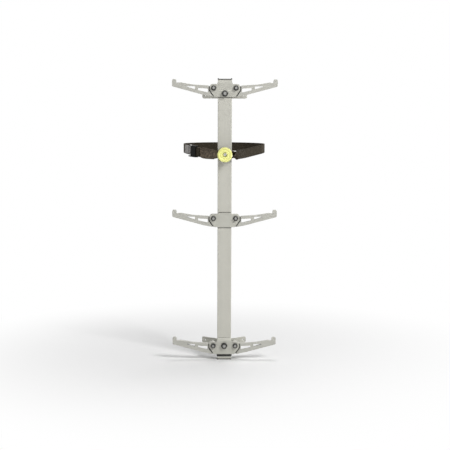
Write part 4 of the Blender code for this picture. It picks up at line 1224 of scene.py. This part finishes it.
@dataclass
class Bolt:
    """A dome-headed bolt along Y with a rolled thread at its free end."""

    shank: float
    head: float
    head_height: float
    seat: float
    tip: float
    pitch: float
    socket: float
    turns: int = 7

    def pattern(self) -> bpy.types.Object:
        """The bolt at its depth, on the Y axis."""
        radius, depth = self.shank / 2, self.pitch * 0.32
        profile = [(0.0, self.tip), (radius - depth - 0.0003, self.tip)]
        y = self.tip + 0.0003
        profile.append((radius - depth, y))
        for _ in range(self.turns):
            profile.append((radius, y + self.pitch * 0.45))
            profile.append((radius, y + self.pitch * 0.6))
            y += self.pitch
            profile.append((radius - depth, y))
        profile.append((radius, y + self.pitch * 0.4))
        head, height = self.head / 2, self.head_height
        profile += [(radius, self.seat), (head * 0.97, self.seat), (head, self.seat + 0.0003)]
        profile.append((head, self.seat + height * 0.3))
        for k in range(1, 8):
            angle = math.pi / 2 * k / 8
            r = head * (0.3 + 0.7 * math.cos(angle))
            profile.append((r, self.seat + height * (0.3 + 0.7 * math.sin(angle))))
        profile.append((0, self.seat + height))
        bolt = turned("bolt_pattern", profile, False, 40)
        top = self.seat + height
        ends = (Vector((0, top - height * 0.55, 0)), Vector((0, top + 0.01, 0)))
        carve(bolt, bar("socket", self.socket / math.sqrt(3), ends, sides=6))
        return bolt


@dataclass
class Fasteners:
    """Pivot and centre bolts with their lock nuts."""

    tip: float = 0.0014

    def fit(self, nut: LockNut, bolt: Bolt, places: list[tuple[str, float, float]]) -> None:
        """Copy one nut and bolt to several places.

        Args:
            nut: The nut's sizes.
            bolt: The bolt's sizes.
            places: (name, x, z) of each.
        """
        body, insert = nut.pattern()
        rod = bolt.pattern()
        for name, x, z in places:
            seat = Vector((x, AT.nut_seat, z))
            made = copy_to(body, f"{name}_lock_nut", seat)
            dress(made, "black_nut", Slot.BLACK_STEEL, [f"{name}_nut"], smooth=40)
            ring = copy_to(insert, f"{name}_nut_insert", seat)
            dress(ring, "insert", Slot.NYLON, smooth=40)
            made = copy_to(rod, f"{name}_threaded_bolt", Vector((x, 0, z)))
            dress(made, "bolt_end", Slot.ZINC, [f"{name}_bolt"], smooth=40, weighted=False)
        for shape in (body, insert, rod):
            discard(shape)

    def build(self) -> None:
        """Fit the six pivots and the two centre bolts."""
        pivots = [
            (f"{level}_{label}_pivot", sign * AT.pivot_offset, z)
            for level, z in AT.levels
            for label, sign in SIDES
        ]
        nut = LockNut(bore=0.008, flats=0.013, height=0.0078)
        bolt = Bolt(
            shank=0.008,
            head=0.0138,
            head_height=0.0044,
            seat=AT.back_plate + AT.gap,
            tip=AT.nut_seat - nut.height - self.tip,
            pitch=0.00125,
            socket=0.005,
        )
        self.fit(nut, bolt, pivots)
        centres = [(f"{level}_centre", 0.0, z) for level, z in AT.centre_bolts]
        nut = LockNut(bore=0.010, flats=0.016, height=0.0088)
        bolt = Bolt(
            shank=0.010,
            head=0.020,
            head_height=0.005,
            seat=AT.web_back + AT.gap,
            tip=AT.nut_seat - nut.height - self.tip,
            pitch=0.0015,
            socket=0.006,
        )
        self.fit(nut, bolt, centres)
        for name, _, _ in pivots:
            paint(f"{name}_bushing", "nylon")


# ======================================================================= button
@dataclass
class Button:
    """The round button that the strap loops over, with its hub and screw."""

    diameter: float = 0.0425
    thickness: float = 0.010
    edge: float = 0.003
    groove_radius: float = 0.0136
    groove_depth: float = 0.0008
    counterbore: float = 0.0135
    counterbore_depth: float = 0.006
    hub_diameter: float = 0.024
    hub_length: float = 0.0295
    screw: float = 0.006
    screw_head: float = 0.0105
    screw_head_height: float = 0.0036
    screw_tip: float = 0.0014
    socket: float = 0.004
    socket_depth: float = 0.0021
    nut_height: float = 0.005

    @property
    def back(self) -> float:
        """The button's face towards the post."""
        return AT.front_plate - self.hub_length - AT.gap

    @property
    def face(self) -> float:
        """The button's outer face."""
        return self.back - self.thickness

    def cap_profile(self) -> list[tuple[float, float]]:
        """The cap's closed section, from its screw hole outwards."""
        hole, outer, edge = self.screw / 2 + AT.clearance, self.diameter / 2, self.edge
        floor = self.face + self.counterbore_depth
        well = self.counterbore / 2
        profile = [(hole, self.back), (hole, floor), (well - 0.0006, floor)]
        profile.append((well, floor - 0.0006))
        for k in range(5):
            angle = math.pi / 2 * k / 4
            r = well + 0.0009 * (1 - math.cos(angle))
            profile.append((r, self.face + 0.0009 * (1 - math.sin(angle))))
        reach = 0.0011
        for k in range(9):
            across = -1 + k / 4
            depth = self.groove_depth * (0.5 + 0.5 * math.cos(math.pi * across))
            profile.append((self.groove_radius + reach * across, self.face + depth))
        for k in range(9):
            angle = math.pi / 2 * k / 8
            r = outer - edge * (1 - math.sin(angle))
            profile.append((r, self.face + edge * (1 - math.cos(angle))))
        for k in range(5):
            angle = math.pi / 2 * k / 4
            r = outer - edge / 3 * (1 - math.cos(angle))
            profile.append((r, self.back - edge / 3 * (1 - math.sin(angle))))
        return profile

    def build(self) -> None:
        """Model and dress the cap, hub and screw."""
        lift = Vector((0, 0, AT.button_z))
        cap = turned("button_cap_moulding", self.cap_profile(), True, 96)
        cap.data.transform(Matrix.Translation(lift))
        dress(cap, "yellow", Slot.YELLOW, ["button_cap"], weighted=False)
        hole, radius = self.screw / 2 + AT.clearance, self.hub_diameter / 2
        near, far = AT.post_front - AT.gap, self.back + AT.gap
        round_off = 0.0005
        hub = turned(
            "button_hub_moulding",
            [
                (hole, near),
                (hole, far),
                (radius - round_off, far),
                (radius, far + round_off),
                (radius, near - round_off),
                (radius - round_off, near),
            ],
            True,
            64,
        )
        hub.data.transform(Matrix.Translation(lift))
        dress(hub, "yellow", Slot.YELLOW, ["button_hub"])
        seat = self.face + self.counterbore_depth - AT.gap
        top = seat - self.screw_head_height
        head, shank = self.screw_head / 2, self.screw / 2
        end = AT.post_front + Post.wall + AT.gap + self.nut_height + self.screw_tip
        profile = [(0, top), (head * 0.5, top)]
        for k in range(1, 7):
            angle = math.pi / 2 * k / 6
            r = head * (0.5 + 0.5 * math.sin(angle))
            profile.append((r, top + self.screw_head_height * 0.6 * (1 - math.cos(angle))))
        profile += [(head, seat), (shank, seat), (shank, end - 0.0005)]
        profile += [(shank - 0.0005, end), (0, end)]
        screw = turned("button_cap_screw", profile, False, 48)
        ends = (Vector((0, top - 0.01, 0)), Vector((0, top + self.socket_depth, 0)))
        carve(screw, bar("socket", self.socket / math.sqrt(3), ends, sides=6))
        soften(screw, 0.0001, 2, 50)
        screw.data.transform(Matrix.Translation(lift))
        dress(screw, "zinc", Slot.ZINC, ["button_screw"], smooth=40)
        paint("button_nut", "zinc")


# ======================================================================== strap
def smooth_step(value: float) -> float:
    """A step from 0 to 1 with level ends."""
    value = min(max(value, 0.0), 1.0)
    return value * value * (3 - 2 * value)


@dataclass
class StrapSizes:
    """The webbing and the route it takes, in metres."""

    width: float = 0.0254
    thickness: float = 0.0019
    folded_width: float = 0.0127
    tree_radius: float = 0.1205
    spread: float = Standoff.spread
    straight: float = 0.020
    bend_radius: float = 0.018
    loop_end: float = 0.002
    long_twist: tuple[float, float] = (0.017, 0.040)
    long_merge: float = 0.046
    short_twist: tuple[float, float] = (0.013, 0.030)
    short_close: tuple[float, float] = (0.008, 0.031)
    short_neck: float = 0.0008
    short_fan: float = 0.0022
    short_fan_end: float = 0.084
    short_merge: float = 0.100
    sewn_length: float = 0.085
    climb: float = 0.012
    climb_length: float = 0.200
    tail_end: float = 0.100
    tail_lift: float = 0.0005
    tail_step: tuple[float, float] = (0.009, 0.011)
    short_lead: tuple[tuple[float, float], ...] = ((0.001, 1.0), (0.007, 0.8))
    seam_ease: float = 0.030
    hub_diameter: float = Button.hub_diameter
    hub_length: float = Button.hub_length

    @property
    def loop_radius(self) -> float:
        """Middle of the folded webbing round the hub."""
        return self.hub_diameter / 2 + AT.gap + self.thickness * 1.9 / 2

    @property
    def hub_middle(self) -> float:
        """The hub's middle in Y."""
        return AT.front_plate - self.hub_length / 2

    @property
    def loop_shift(self) -> float:
        """How far each end loop lies from the hub's middle."""
        return (self.folded_width + 2 * AT.gap) / 2


STRAP = StrapSizes()


class Run:
    """The strap's centreline in plan, from the hub out to the tree.

    It runs straight past the post's side, bends back, runs straight to the tree
    and then follows its circle.
    """

    def __init__(self, side: int, hub_y: float) -> None:
        """Work out the bend and the place where the strap meets the tree.

        Args:
            side: 1 for the right-hand run and -1 for the left-hand one.
            hub_y: The loop's place along the hub.
        """
        s = STRAP
        self.side, self.hub_y = side, hub_y
        front = math.sqrt(s.tree_radius**2 - (s.spread / 2) ** 2) - s.tree_radius
        self.radius = s.tree_radius + s.thickness / 2
        self.tree = Vector((0, self.radius + front))
        self.bend = Vector((s.straight, hub_y + s.bend_radius))
        across = self.tree - self.bend
        lean = math.atan2(across.y, across.x) - math.pi / 2
        self.turn = lean + math.acos((self.radius - s.bend_radius) / across.length)
        left = Vector((-math.sin(self.turn), math.cos(self.turn)))
        self.leave = self.bend - left * s.bend_radius
        touch = self.tree - left * self.radius
        self.bend_end = s.straight + s.bend_radius * self.turn
        self.touch_end = self.bend_end + (touch - self.leave).length
        self.half_round = self.radius * (math.pi - self.turn)

    def at(self, distance: float) -> tuple[Vector, Vector]:
        """Point and direction at a distance along the run."""
        bend = STRAP.bend_radius
        if distance < STRAP.straight:
            point, angle = Vector((distance, self.hub_y)), 0.0
        elif distance < self.bend_end:
            angle = (distance - STRAP.straight) / bend
            point = self.bend + bend * Vector((math.sin(angle), -math.cos(angle)))
        elif distance < self.touch_end:
            angle = self.turn
            ahead = Vector((math.cos(angle), math.sin(angle)))
            point = self.leave + (distance - self.bend_end) * ahead
        else:
            angle = self.turn + (distance - self.touch_end) / self.radius
            point = self.tree + self.radius * Vector((math.sin(angle), -math.cos(angle)))
        ahead = Vector((self.side * math.cos(angle), math.sin(angle), 0))
        return Vector((self.side * point.x, point.y, 0)), ahead

    def rise(self, distance: float) -> float:
        """How far the strap has climbed above the button."""
        return STRAP.climb * smooth_step((distance - self.bend_end) / STRAP.climb_length)

    def inward(self, ahead: Vector) -> Vector:
        """The level direction from the strap towards the tree."""
        return Vector((-ahead.y * self.side, ahead.x * self.side, 0))

    def middle(self, distance: float) -> tuple[Vector, Vector]:
        """The centreline's point in space and the direction towards the tree."""
        point, ahead = self.at(distance)
        point.z = AT.button_z + self.rise(distance)
        return point, self.inward(ahead)


@dataclass
class Station:
    """One section of webbing along its path."""

    centre: Vector
    across: Vector
    folded: float = 0.0


def leg_spread(side: int, distance: float) -> float:
    """How far each leg of an end loop lies above or below the strap's middle."""
    begin, radius = STRAP.loop_end, STRAP.loop_radius
    if side > 0:
        return radius * (1 - smooth_step((distance - begin) / (STRAP.long_merge - begin)))
    start, end = STRAP.short_close
    last = STRAP.short_fan_end
    closed = smooth_step((distance - start) / (end - start))
    fan = smooth_step((distance - end) / (last - end))
    spread = radius + (STRAP.short_neck - radius) * closed
    spread += (STRAP.short_fan - STRAP.short_neck) * fan
    return spread * (1 - smooth_step((distance - last) / (STRAP.short_merge - last)))


def leg(run: Run, distance: float, upper: bool) -> Station:
    """One leg of an end loop, turning and opening as it leaves the hub."""
    point, ahead = run.at(distance)
    towards = run.inward(ahead)
    start, end = STRAP.long_twist if run.side > 0 else STRAP.short_twist
    twist = math.pi / 2 * smooth_step((distance - start) / (end - start))
    apart = leg_spread(run.side, distance)
    layer = (STRAP.thickness + AT.gap) / 2 * math.sin(twist)
    sign = 1 if upper else -1
    centre = point + towards * (sign * layer)
    centre.z = AT.button_z + run.rise(distance) + sign * apart
    across = UP * math.sin(twist) - towards * math.cos(twist)
    return Station(centre, across, math.cos(twist))


def hub_loop(run: Run, steps: int = 28) -> list[Station]:
    """The half turn round the hub, from its top to its underside."""
    made = []
    for k in range(steps + 1):
        angle = math.pi * k / steps
        place = Vector((-run.side * math.sin(angle), 0, math.cos(angle)))
        centre = place * STRAP.loop_radius + Vector((0, run.hub_y, AT.button_z))
        made.append(Station(centre, Vector((0, -1, 0)), 1.0))
    return made


def spaced(start: float, end: float, step: float) -> list[float]:
    """Distances from start to end, evenly spaced, both included."""
    count = max(1, round(abs(end - start) / step))
    return [start + (end - start) * k / count for k in range(count + 1)]


@dataclass
class Webbing:
    """A strap of woven webbing, skinned from a grid laid along its stations."""

    name: str
    stations: list[Station]
    ring: bool = False
    samples: int = 26
    edge_samples: int = 3

    def section(self, station: Station) -> list[tuple[float, float, float]]:
        """The closed section of one station.

        Returns:
            (across, out, flat) of each point: its place across and out of the
            webbing, and its place on the flat webbing, in metres.
        """
        width, thick = STRAP.width, STRAP.thickness * (1 - 0.1 * station.folded)
        shown = min(width, STRAP.folded_width / max(station.folded, 1e-6))
        apart = STRAP.thickness * 0.475 * station.folded
        line = []
        for k in range(self.samples + 1):
            s = width * k / self.samples
            turn = math.pi * apart / 2
            if s < shown - turn / 2 or apart < 1e-6:
                line.append((shown / 2 - s, -apart, 0.0, s))
            elif s < shown + turn / 2:
                angle = math.pi * (s - shown + turn / 2) / max(turn, 1e-9)
                x = -shown / 2 + turn / 2 - apart * math.sin(angle)
                line.append((x, -apart * math.cos(angle), angle, s))
            else:
                line.append((-shown / 2 + (s - shown), apart, math.pi, s))
        half = thick / 2
        front, back = [], []
        for a, n, angle, s in line:
            out = Vector((-math.sin(angle), -math.cos(angle))) * half
            front.append((a + out.x, n + out.y, s))
            back.append((a - out.x, n - out.y, s))
        loop = front
        for ends, spin in ((line[-1], 1), (line[0], -1)):
            a, n, angle, s = ends
            tip = Vector((-math.cos(angle), math.sin(angle))) * spin
            face = Vector((-math.sin(angle), -math.cos(angle)))
            cap = []
            for k in range(1, self.edge_samples + 1):
                turn = math.pi * k / (self.edge_samples + 1)
                out = face * math.cos(turn) * spin + tip * math.sin(turn) * 0.7
                cap.append((a + out.x * half, n + out.y * half, s))
            loop = loop + cap
            if spin == 1:
                loop = loop + back[::-1]
        return loop

    def build(self) -> bpy.types.Object:
        """Lay the grid, close its seam and its ends, and return the strap."""
        stations, count = self.stations, len(self.stations)
        rows = count + 1 if self.ring else count
        rim = len(self.section(stations[0]))
        select_only()
        bpy.ops.mesh.primitive_grid_add(x_subdivisions=rim, y_subdivisions=rows - 1, size=1)
        obj = rename(bpy.context.active_object, self.name)
        mesh = obj.data
        flat = [(0.0, 0.0)] * len(mesh.vertices)
        travelled = 0.0
        for j in range(rows):
            here = stations[j % count]
            before = stations[(j - 1) % count] if j or self.ring else here
            after = stations[(j + 1) % count] if j + 1 < count or self.ring else here
            ahead = (after.centre - before.centre).normalized()
            across = (here.across - here.across.dot(ahead) * ahead).normalized()
            face = ahead.cross(across).normalized()
            if j:
                travelled += (here.centre - stations[j - 1].centre).length
            section = self.section(here)
            for k in range(rim + 1):
                a, n, s = section[k % rim]
                index = j * (rim + 1) + k
                mesh.vertices[index].co = here.centre + across * a + face * n
                flat[index] = (s, travelled)
        layer = mesh.uv_layers[0].data
        for loop in mesh.loops:
            layer[loop.index].uv = flat[loop.vertex_index]
        with editing(obj):
            bpy.ops.mesh.remove_doubles(threshold=2e-6)
            if not self.ring:
                bpy.ops.mesh.select_mode(type="EDGE")
                bpy.ops.mesh.select_all(action="DESELECT")
                bpy.ops.mesh.select_non_manifold(extend=False)
                bpy.ops.mesh.fill()
                bpy.ops.mesh.select_all(action="SELECT")
            bpy.ops.mesh.normals_make_consistent(inside=False)
        return obj


@dataclass
class CamBuckle:
    """The cam buckle's sizes and its place on the left-hand run."""

    width: float = 0.033
    sheet: float = 0.0016
    near: float = 0.026
    far: float = 0.013
    distance: float = 0.106
    exit_margin: float = 0.004
    bar_length: float = 0.004
    pin_height: float = 0.0095
    lever_length: float = 0.031
    lever_thickness: float = 0.0036
    rib: float = 0.0007
    rib_pitch: float = 0.0021
    rib_start: float = 0.0032
    rib_lift: float = 0.0003
    ribs: int = 7

    def __post_init__(self) -> None:
        """Work out the buckle's origin and axes from the strap's route."""
        run = Run(-1, STRAP.hub_middle + STRAP.loop_shift)
        distance, step = run.bend_end + self.distance, 0.002
        point, ahead = run.at(min(distance, run.touch_end))
        climb = (run.rise(distance + step) - run.rise(distance - step)) / (2 * step)
        self.along = (ahead + UP * climb).normalized()
        self.outward = -run.inward(ahead)
        self.across = self.along.cross(self.outward).normalized()
        point += ahead * max(0.0, distance - run.touch_end)
        point.z = AT.button_z + run.rise(distance)
        self.strap_height = self.sheet + AT.gap + STRAP.thickness / 2
        self.origin = point - self.outward * self.strap_height
        self.run = run

    def place(self, u: float, n: float, w: float = 0.0) -> Vector:
        """A point along, outward and across, in the frame."""
        return self.origin + self.along * u + self.outward * n + self.across * w

    def build(self) -> None:
        """Dress the frame, pin and spring, and cut the lever's grip."""
        body = refined("buckle_frame", "buckle_plate", 0.0003)
        dress(body, "buckle", Slot.BLACK_STEEL, ["buckle_frame"])
        lever = refined("cam_lever", "buckle_lever", 0.0004, 30)
        half = self.width / 2
        top = self.pin_height + self.lever_thickness * 0.45
        for k in range(self.ribs):
            u = self.lever_length - self.rib_start - k * self.rib_pitch
            n = top + self.rib_lift
            ends = (self.place(u, n, -half), self.place(u, n, half))
            carve(lever, bar("groove", self.rib, ends, 20))
        dress(lever, "lever", Slot.ZINC, ["cam_lever"], body="cam_lever")
        paint("cam_pin", "zinc")
        paint("cam_spring", "zinc")


BUCKLE = CamBuckle()


@dataclass
class Straps:
    """The long strap round the tree, the short one to the buckle, and their seams."""

    pace: float = 0.0022
    stitch_length: float = 0.0024
    stitch_gap: float = 0.0009
    stitch_radius: float = 0.00028
    seam_margin: float = 0.003
    seam_start: float = 0.004

    def long_stations(self) -> list[Station]:
        """The long strap: sewn loop on the hub, round the tree, through the buckle."""
        run = Run(1, STRAP.hub_middle - STRAP.loop_shift)
        sewn = (STRAP.thickness + AT.gap) / 2
        merge = STRAP.long_merge
        made = []
        for distance in spaced(STRAP.sewn_length, merge, self.pace)[:-1]:
            point, towards = run.middle(distance)
            made.append(Station(point + towards * sewn, UP))
        legs = spaced(merge, 0.0, self.pace / 2)[:-1]
        made += [leg(run, d, True) for d in legs]
        made += hub_loop(run)
        made += [leg(run, d, False) for d in reversed(legs)]
        for distance in spaced(merge, run.touch_end + run.half_round, self.pace)[1:]:
            point, towards = run.middle(distance)
            eased = smooth_step((distance - STRAP.sewn_length) / STRAP.seam_ease)
            away = sewn * (1 - eased)
            made.append(Station(point - towards * away, UP))
        back = BUCKLE.run
        stop = back.bend_end + BUCKLE.distance + BUCKLE.far + BUCKLE.exit_margin
        for distance in spaced(back.touch_end + back.half_round, stop, self.pace)[1:-1]:
            point, _ = back.middle(distance)
            made.append(Station(point, UP))
        tail = back.bend_end + BUCKLE.distance - STRAP.tail_end
        rest = BUCKLE.strap_height + sewn + STRAP.thickness + STRAP.tail_lift
        start, length = STRAP.tail_step
        for u in spaced(BUCKLE.far + 0.001, -tail, self.pace):
            lift = smooth_step((-u - start) / length)
            height = BUCKLE.strap_height + (rest - BUCKLE.strap_height) * lift
            made.append(Station(BUCKLE.place(u, height), BUCKLE.across))
        return made

    def short_stations(self) -> list[Station]:
        """The short endless strap between the hub and the buckle's bar."""
        run = BUCKLE.run
        turn_radius = BUCKLE.sheet / 2 + AT.gap + STRAP.thickness / 2
        turn_u = -BUCKLE.near + BUCKLE.bar_length - 0.0001
        middle = BUCKLE.sheet / 2
        legs = spaced(STRAP.short_merge, 0.0, self.pace / 2)
        upper = [leg(run, d, True) for d in legs[:-1]]
        lower = [leg(run, d, False) for d in reversed(legs[:-1])]
        lead = [
            (turn_u - BUCKLE.bar_length - past, turn_radius * share)
            for past, share in STRAP.short_lead
        ]
        front = [Station(BUCKLE.place(u, middle + n), BUCKLE.across) for u, n in reversed(lead)]
        back = [Station(BUCKLE.place(u, middle - n), BUCKLE.across) for u, n in lead]
        around = []
        for k in range(15):
            angle = math.pi * k / 14
            u = turn_u + turn_radius * math.sin(angle)
            n = middle + turn_radius * math.cos(angle)
            around.append(Station(BUCKLE.place(u, n), BUCKLE.across))
        return refine(upper + hub_loop(run) + lower + front + around + back, self.pace)

    def seam(self, name: str, spots: list[tuple[Vector, Vector, Vector]]) -> None:
        """Lay one row of stitches.

        Args:
            name: The seam's name.
            spots: The place, the direction and the outward normal of each stitch.
        """
        select_only()
        bpy.ops.mesh.primitive_uv_sphere_add(segments=8, ring_count=6, radius=1)
        pattern = rename(bpy.context.active_object, "stitch")
        size = (self.stitch_length / 2, self.stitch_radius, self.stitch_radius)
        pattern.data.transform(Matrix.Diagonal((*size, 1)))
        copies = []
        for place, way, out in spots:
            side = out.cross(way).normalized()
            turn = Matrix((way, side, out)).transposed().to_4x4()
            made = copy_to(pattern, "stitch", Vector())
            made.data.transform(Matrix.Translation(place) @ turn)
            copies.append(made)
        select_only(copies[0])
        for made in copies:
            made.select_set(True)
        bpy.ops.object.join()
        discard(pattern)
        seam = rename(bpy.context.active_object, name)
        dress(seam, "thread", Slot.WEBBING, weighted=False)

    def box_seam(self) -> list[tuple[Vector, Vector, Vector]]:
        """The box and its cross that close the long strap's loop."""
        run = Run(1, STRAP.hub_middle - STRAP.loop_shift)
        start = STRAP.long_merge + self.seam_start
        end = STRAP.sewn_length - self.seam_margin
        half = STRAP.width / 2 - self.seam_margin
        lines = [
            ((start, -half), (end, -half)),
            ((end, -half), (end, half)),
            ((end, half), (start, half)),
            ((start, half), (start, -half)),
            ((start, -half), (end, half)),
            ((end, -half), (start, half)),
        ]
        spots = []
        for (d0, h0), (d1, h1) in lines:
            length = math.hypot(d1 - d0, h1 - h0)
            for s in spaced(0, length, self.stitch_length + self.stitch_gap)[:-1]:
                share = (s + self.stitch_length / 2) / length
                distance, height = d0 + (d1 - d0) * share, h0 + (h1 - h0) * share
                point, towards = run.middle(distance)
                away = (STRAP.thickness + AT.gap) / 2 + STRAP.thickness / 2
                ahead = run.at(distance)[1]
                way = (ahead * (d1 - d0) + UP * (h1 - h0)).normalized()
                spots.append((point - towards * away + UP * height, way, -towards))
        return spots

    def build(self) -> None:
        """Model both straps and their seams."""
        long_strap = Webbing("round_strap", self.long_stations()).build()
        dress(long_strap, "webbing", Slot.WEBBING, ["long_strap"], weighted=False, smooth=60)
        short_strap = Webbing("buckle_strap", self.short_stations(), ring=True).build()
        dress(
            short_strap, "worn_webbing", Slot.WEBBING, ["short_strap"], weighted=False, smooth=60
        )
        self.seam("loop_seam", self.box_seam())


def refine(stations: list[Station], pace: float) -> list[Station]:
    """Add stations where two neighbours of a ring lie further apart than a pace."""
    made = []
    for here, after in zip(stations, stations[1:] + stations[:1]):
        made.append(here)
        length = (after.centre - here.centre).length
        for k in range(1, math.ceil(length / (1.6 * pace))):
            t = k / math.ceil(length / (1.6 * pace))
            across = here.across.lerp(after.across, t)
            folded = here.folded + (after.folded - here.folded) * t
            made.append(Station(here.centre.lerp(after.centre, t), across, folded))
    return made


# ======================================================================= studio
@dataclass(frozen=True)
class Lamp:
    """A square area lamp: where it hangs, its side in metres and its power in watts."""

    name: str
    place: Point
    size: float
    power: float

    def build(self, target: Point) -> None:
        """Hang the lamp and aim it at a point."""
        data = bpy.data.lights.new(self.name, "AREA")
        data.shape = "SQUARE"
        data.size = self.size
        data.energy = self.power
        lamp = bpy.data.objects.new(self.name, data)
        bpy.context.scene.collection.objects.link(lamp)
        lamp.location = self.place
        way = Vector(target) - Vector(self.place)
        lamp.rotation_euler = way.to_track_quat("-Z", "Y").to_euler()


@dataclass
class Studio:
    """The camera of the photograph, a plain pale floor and soft light."""

    camera_at: Point = (-0.0346, -3.200, 0.6944)
    yaw: float = 0.0115
    pitch: float = 0.1079
    roll: float = 0.0033
    focal_pixels: float = 1090.4
    image_pixels: float = 450.0
    sensor: float = 36.0
    world_light: float = 0.17
    floor_gap: float = 0.0001
    floor_fade: tuple[float, float] = (0.12, 0.95)
    lit_at: Point = (0.0, -0.05, 0.4)
    lamps: tuple[Lamp, ...] = (
        Lamp("key", (1.9, -2.3, 2.5), 1.1, 92),
        Lamp("fill", (-2.4, -1.8, 1.0), 1.8, 8),
        Lamp("top", (0.3, 0.6, 2.6), 1.2, 26),
    )

    def aim(self) -> None:
        """Set the camera to the photograph's view."""
        data = bpy.data.cameras.new("photo_camera")
        data.sensor_width = self.sensor
        data.lens = self.focal_pixels / self.image_pixels * self.sensor
        camera = bpy.data.objects.new("photo_camera", data)
        bpy.context.scene.collection.objects.link(camera)
        level = math.cos(self.pitch)
        forward = Vector(
            (math.sin(self.yaw) * level, math.cos(self.yaw) * level, -math.sin(self.pitch))
        )
        right = forward.cross(UP).normalized()
        up = right.cross(forward)
        tilted = right * math.cos(self.roll) + up * math.sin(self.roll)
        raised = up * math.cos(self.roll) - right * math.sin(self.roll)
        turn = Matrix((tilted, raised, -forward)).transposed().to_4x4()
        camera.matrix_world = Matrix.Translation(self.camera_at) @ turn
        bpy.context.scene.camera = camera

    def seen(self, tree: bpy.types.NodeTree) -> bpy.types.NodeSocket:
        """1 for rays from the camera, or mirrored or passed on to it."""
        rays = tree.nodes.new("ShaderNodeLightPath").outputs
        most = rays["Is Camera Ray"]
        for other in ("Is Glossy Ray", "Is Transmission Ray"):
            add = tree.nodes.new("ShaderNodeMath")
            add.operation = "MAXIMUM"
            tree.links.new(most, add.inputs[0])
            tree.links.new(rays[other], add.inputs[1])
            most = add.outputs[0]
        return most

    def world(self) -> None:
        """A white backdrop that lights the object softly."""
        world = bpy.data.worlds.new("studio")
        bpy.context.scene.world = world
        world.use_nodes = True
        tree = world.node_tree
        back = tree.nodes["Background"]
        back.inputs["Color"].default_value = (1, 1, 1, 1)
        strength = tree.nodes.new("ShaderNodeMapRange")
        strength.inputs[3].default_value = self.world_light
        strength.inputs[4].default_value = 1.0
        tree.links.new(self.seen(tree), strength.inputs[0])
        tree.links.new(strength.outputs[0], back.inputs["Strength"])

    def floor(self, height: float) -> None:
        """A wide pale floor that keeps the shadow and turns white further out."""
        select_only()
        bpy.ops.mesh.primitive_plane_add(size=60, location=(0, 0, height - self.floor_gap))
        floor = rename(bpy.context.active_object, "floor")
        material = bpy.data.materials.new("pale_floor")
        material.use_nodes = True
        tree = material.node_tree
        shader = tree.nodes["Principled BSDF"]
        shader.inputs["Base Color"].default_value = (0.93, 0.93, 0.93, 1)
        shader.inputs["Roughness"].default_value = 0.9
        shader.inputs["Specular IOR Level"].default_value = 0.1
        place = tree.nodes.new("ShaderNodeTexCoord")
        length = tree.nodes.new("ShaderNodeVectorMath")
        length.operation = "LENGTH"
        tree.links.new(place.outputs["Object"], length.inputs[0])
        fade = tree.nodes.new("ShaderNodeMapRange")
        fade.interpolation_type = "SMOOTHSTEP"
        fade.inputs[1].default_value, fade.inputs[2].default_value = self.floor_fade
        tree.links.new(length.outputs["Value"], fade.inputs[0])
        share = tree.nodes.new("ShaderNodeMath")
        share.operation = "MULTIPLY"
        tree.links.new(self.seen(tree), share.inputs[0])
        tree.links.new(fade.outputs[0], share.inputs[1])
        white = tree.nodes.new("ShaderNodeEmission")
        mix = tree.nodes.new("ShaderNodeMixShader")
        tree.links.new(share.outputs[0], mix.inputs[0])
        tree.links.new(shader.outputs[0], mix.inputs[1])
        tree.links.new(white.outputs[0], mix.inputs[2])
        tree.links.new(mix.outputs[0], tree.nodes["Material Output"].inputs["Surface"])
        floor.data.materials.append(material)
        floor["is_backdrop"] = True

    def build(self) -> None:
        """Set camera, world, floor and lamps."""
        self.aim()
        self.world()
        self.floor(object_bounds()[0].z)
        for lamp in self.lamps:
            lamp.build(self.lit_at)
        bpy.context.scene.view_settings.view_transform = "Standard"


# ========================================================================= main
def main() -> None:
    """Build every sub-assembly in order."""
    logging.basicConfig(level=logging.INFO, format="%(message)s")
    known = set(frame["nodes"].values()) | set(frame["bodies"].values())
    for obj in [o for o in bpy.data.objects if o not in known]:
        bpy.data.objects.remove(obj, do_unlink=True)
    for sub_assembly in (Post(), Plates(), Standoff(), Step(), Fasteners(), Button()):
        sub_assembly.build()
    Straps().build()
    BUCKLE.build()
    Studio().build()


if __name__ == "__main__":
    main()
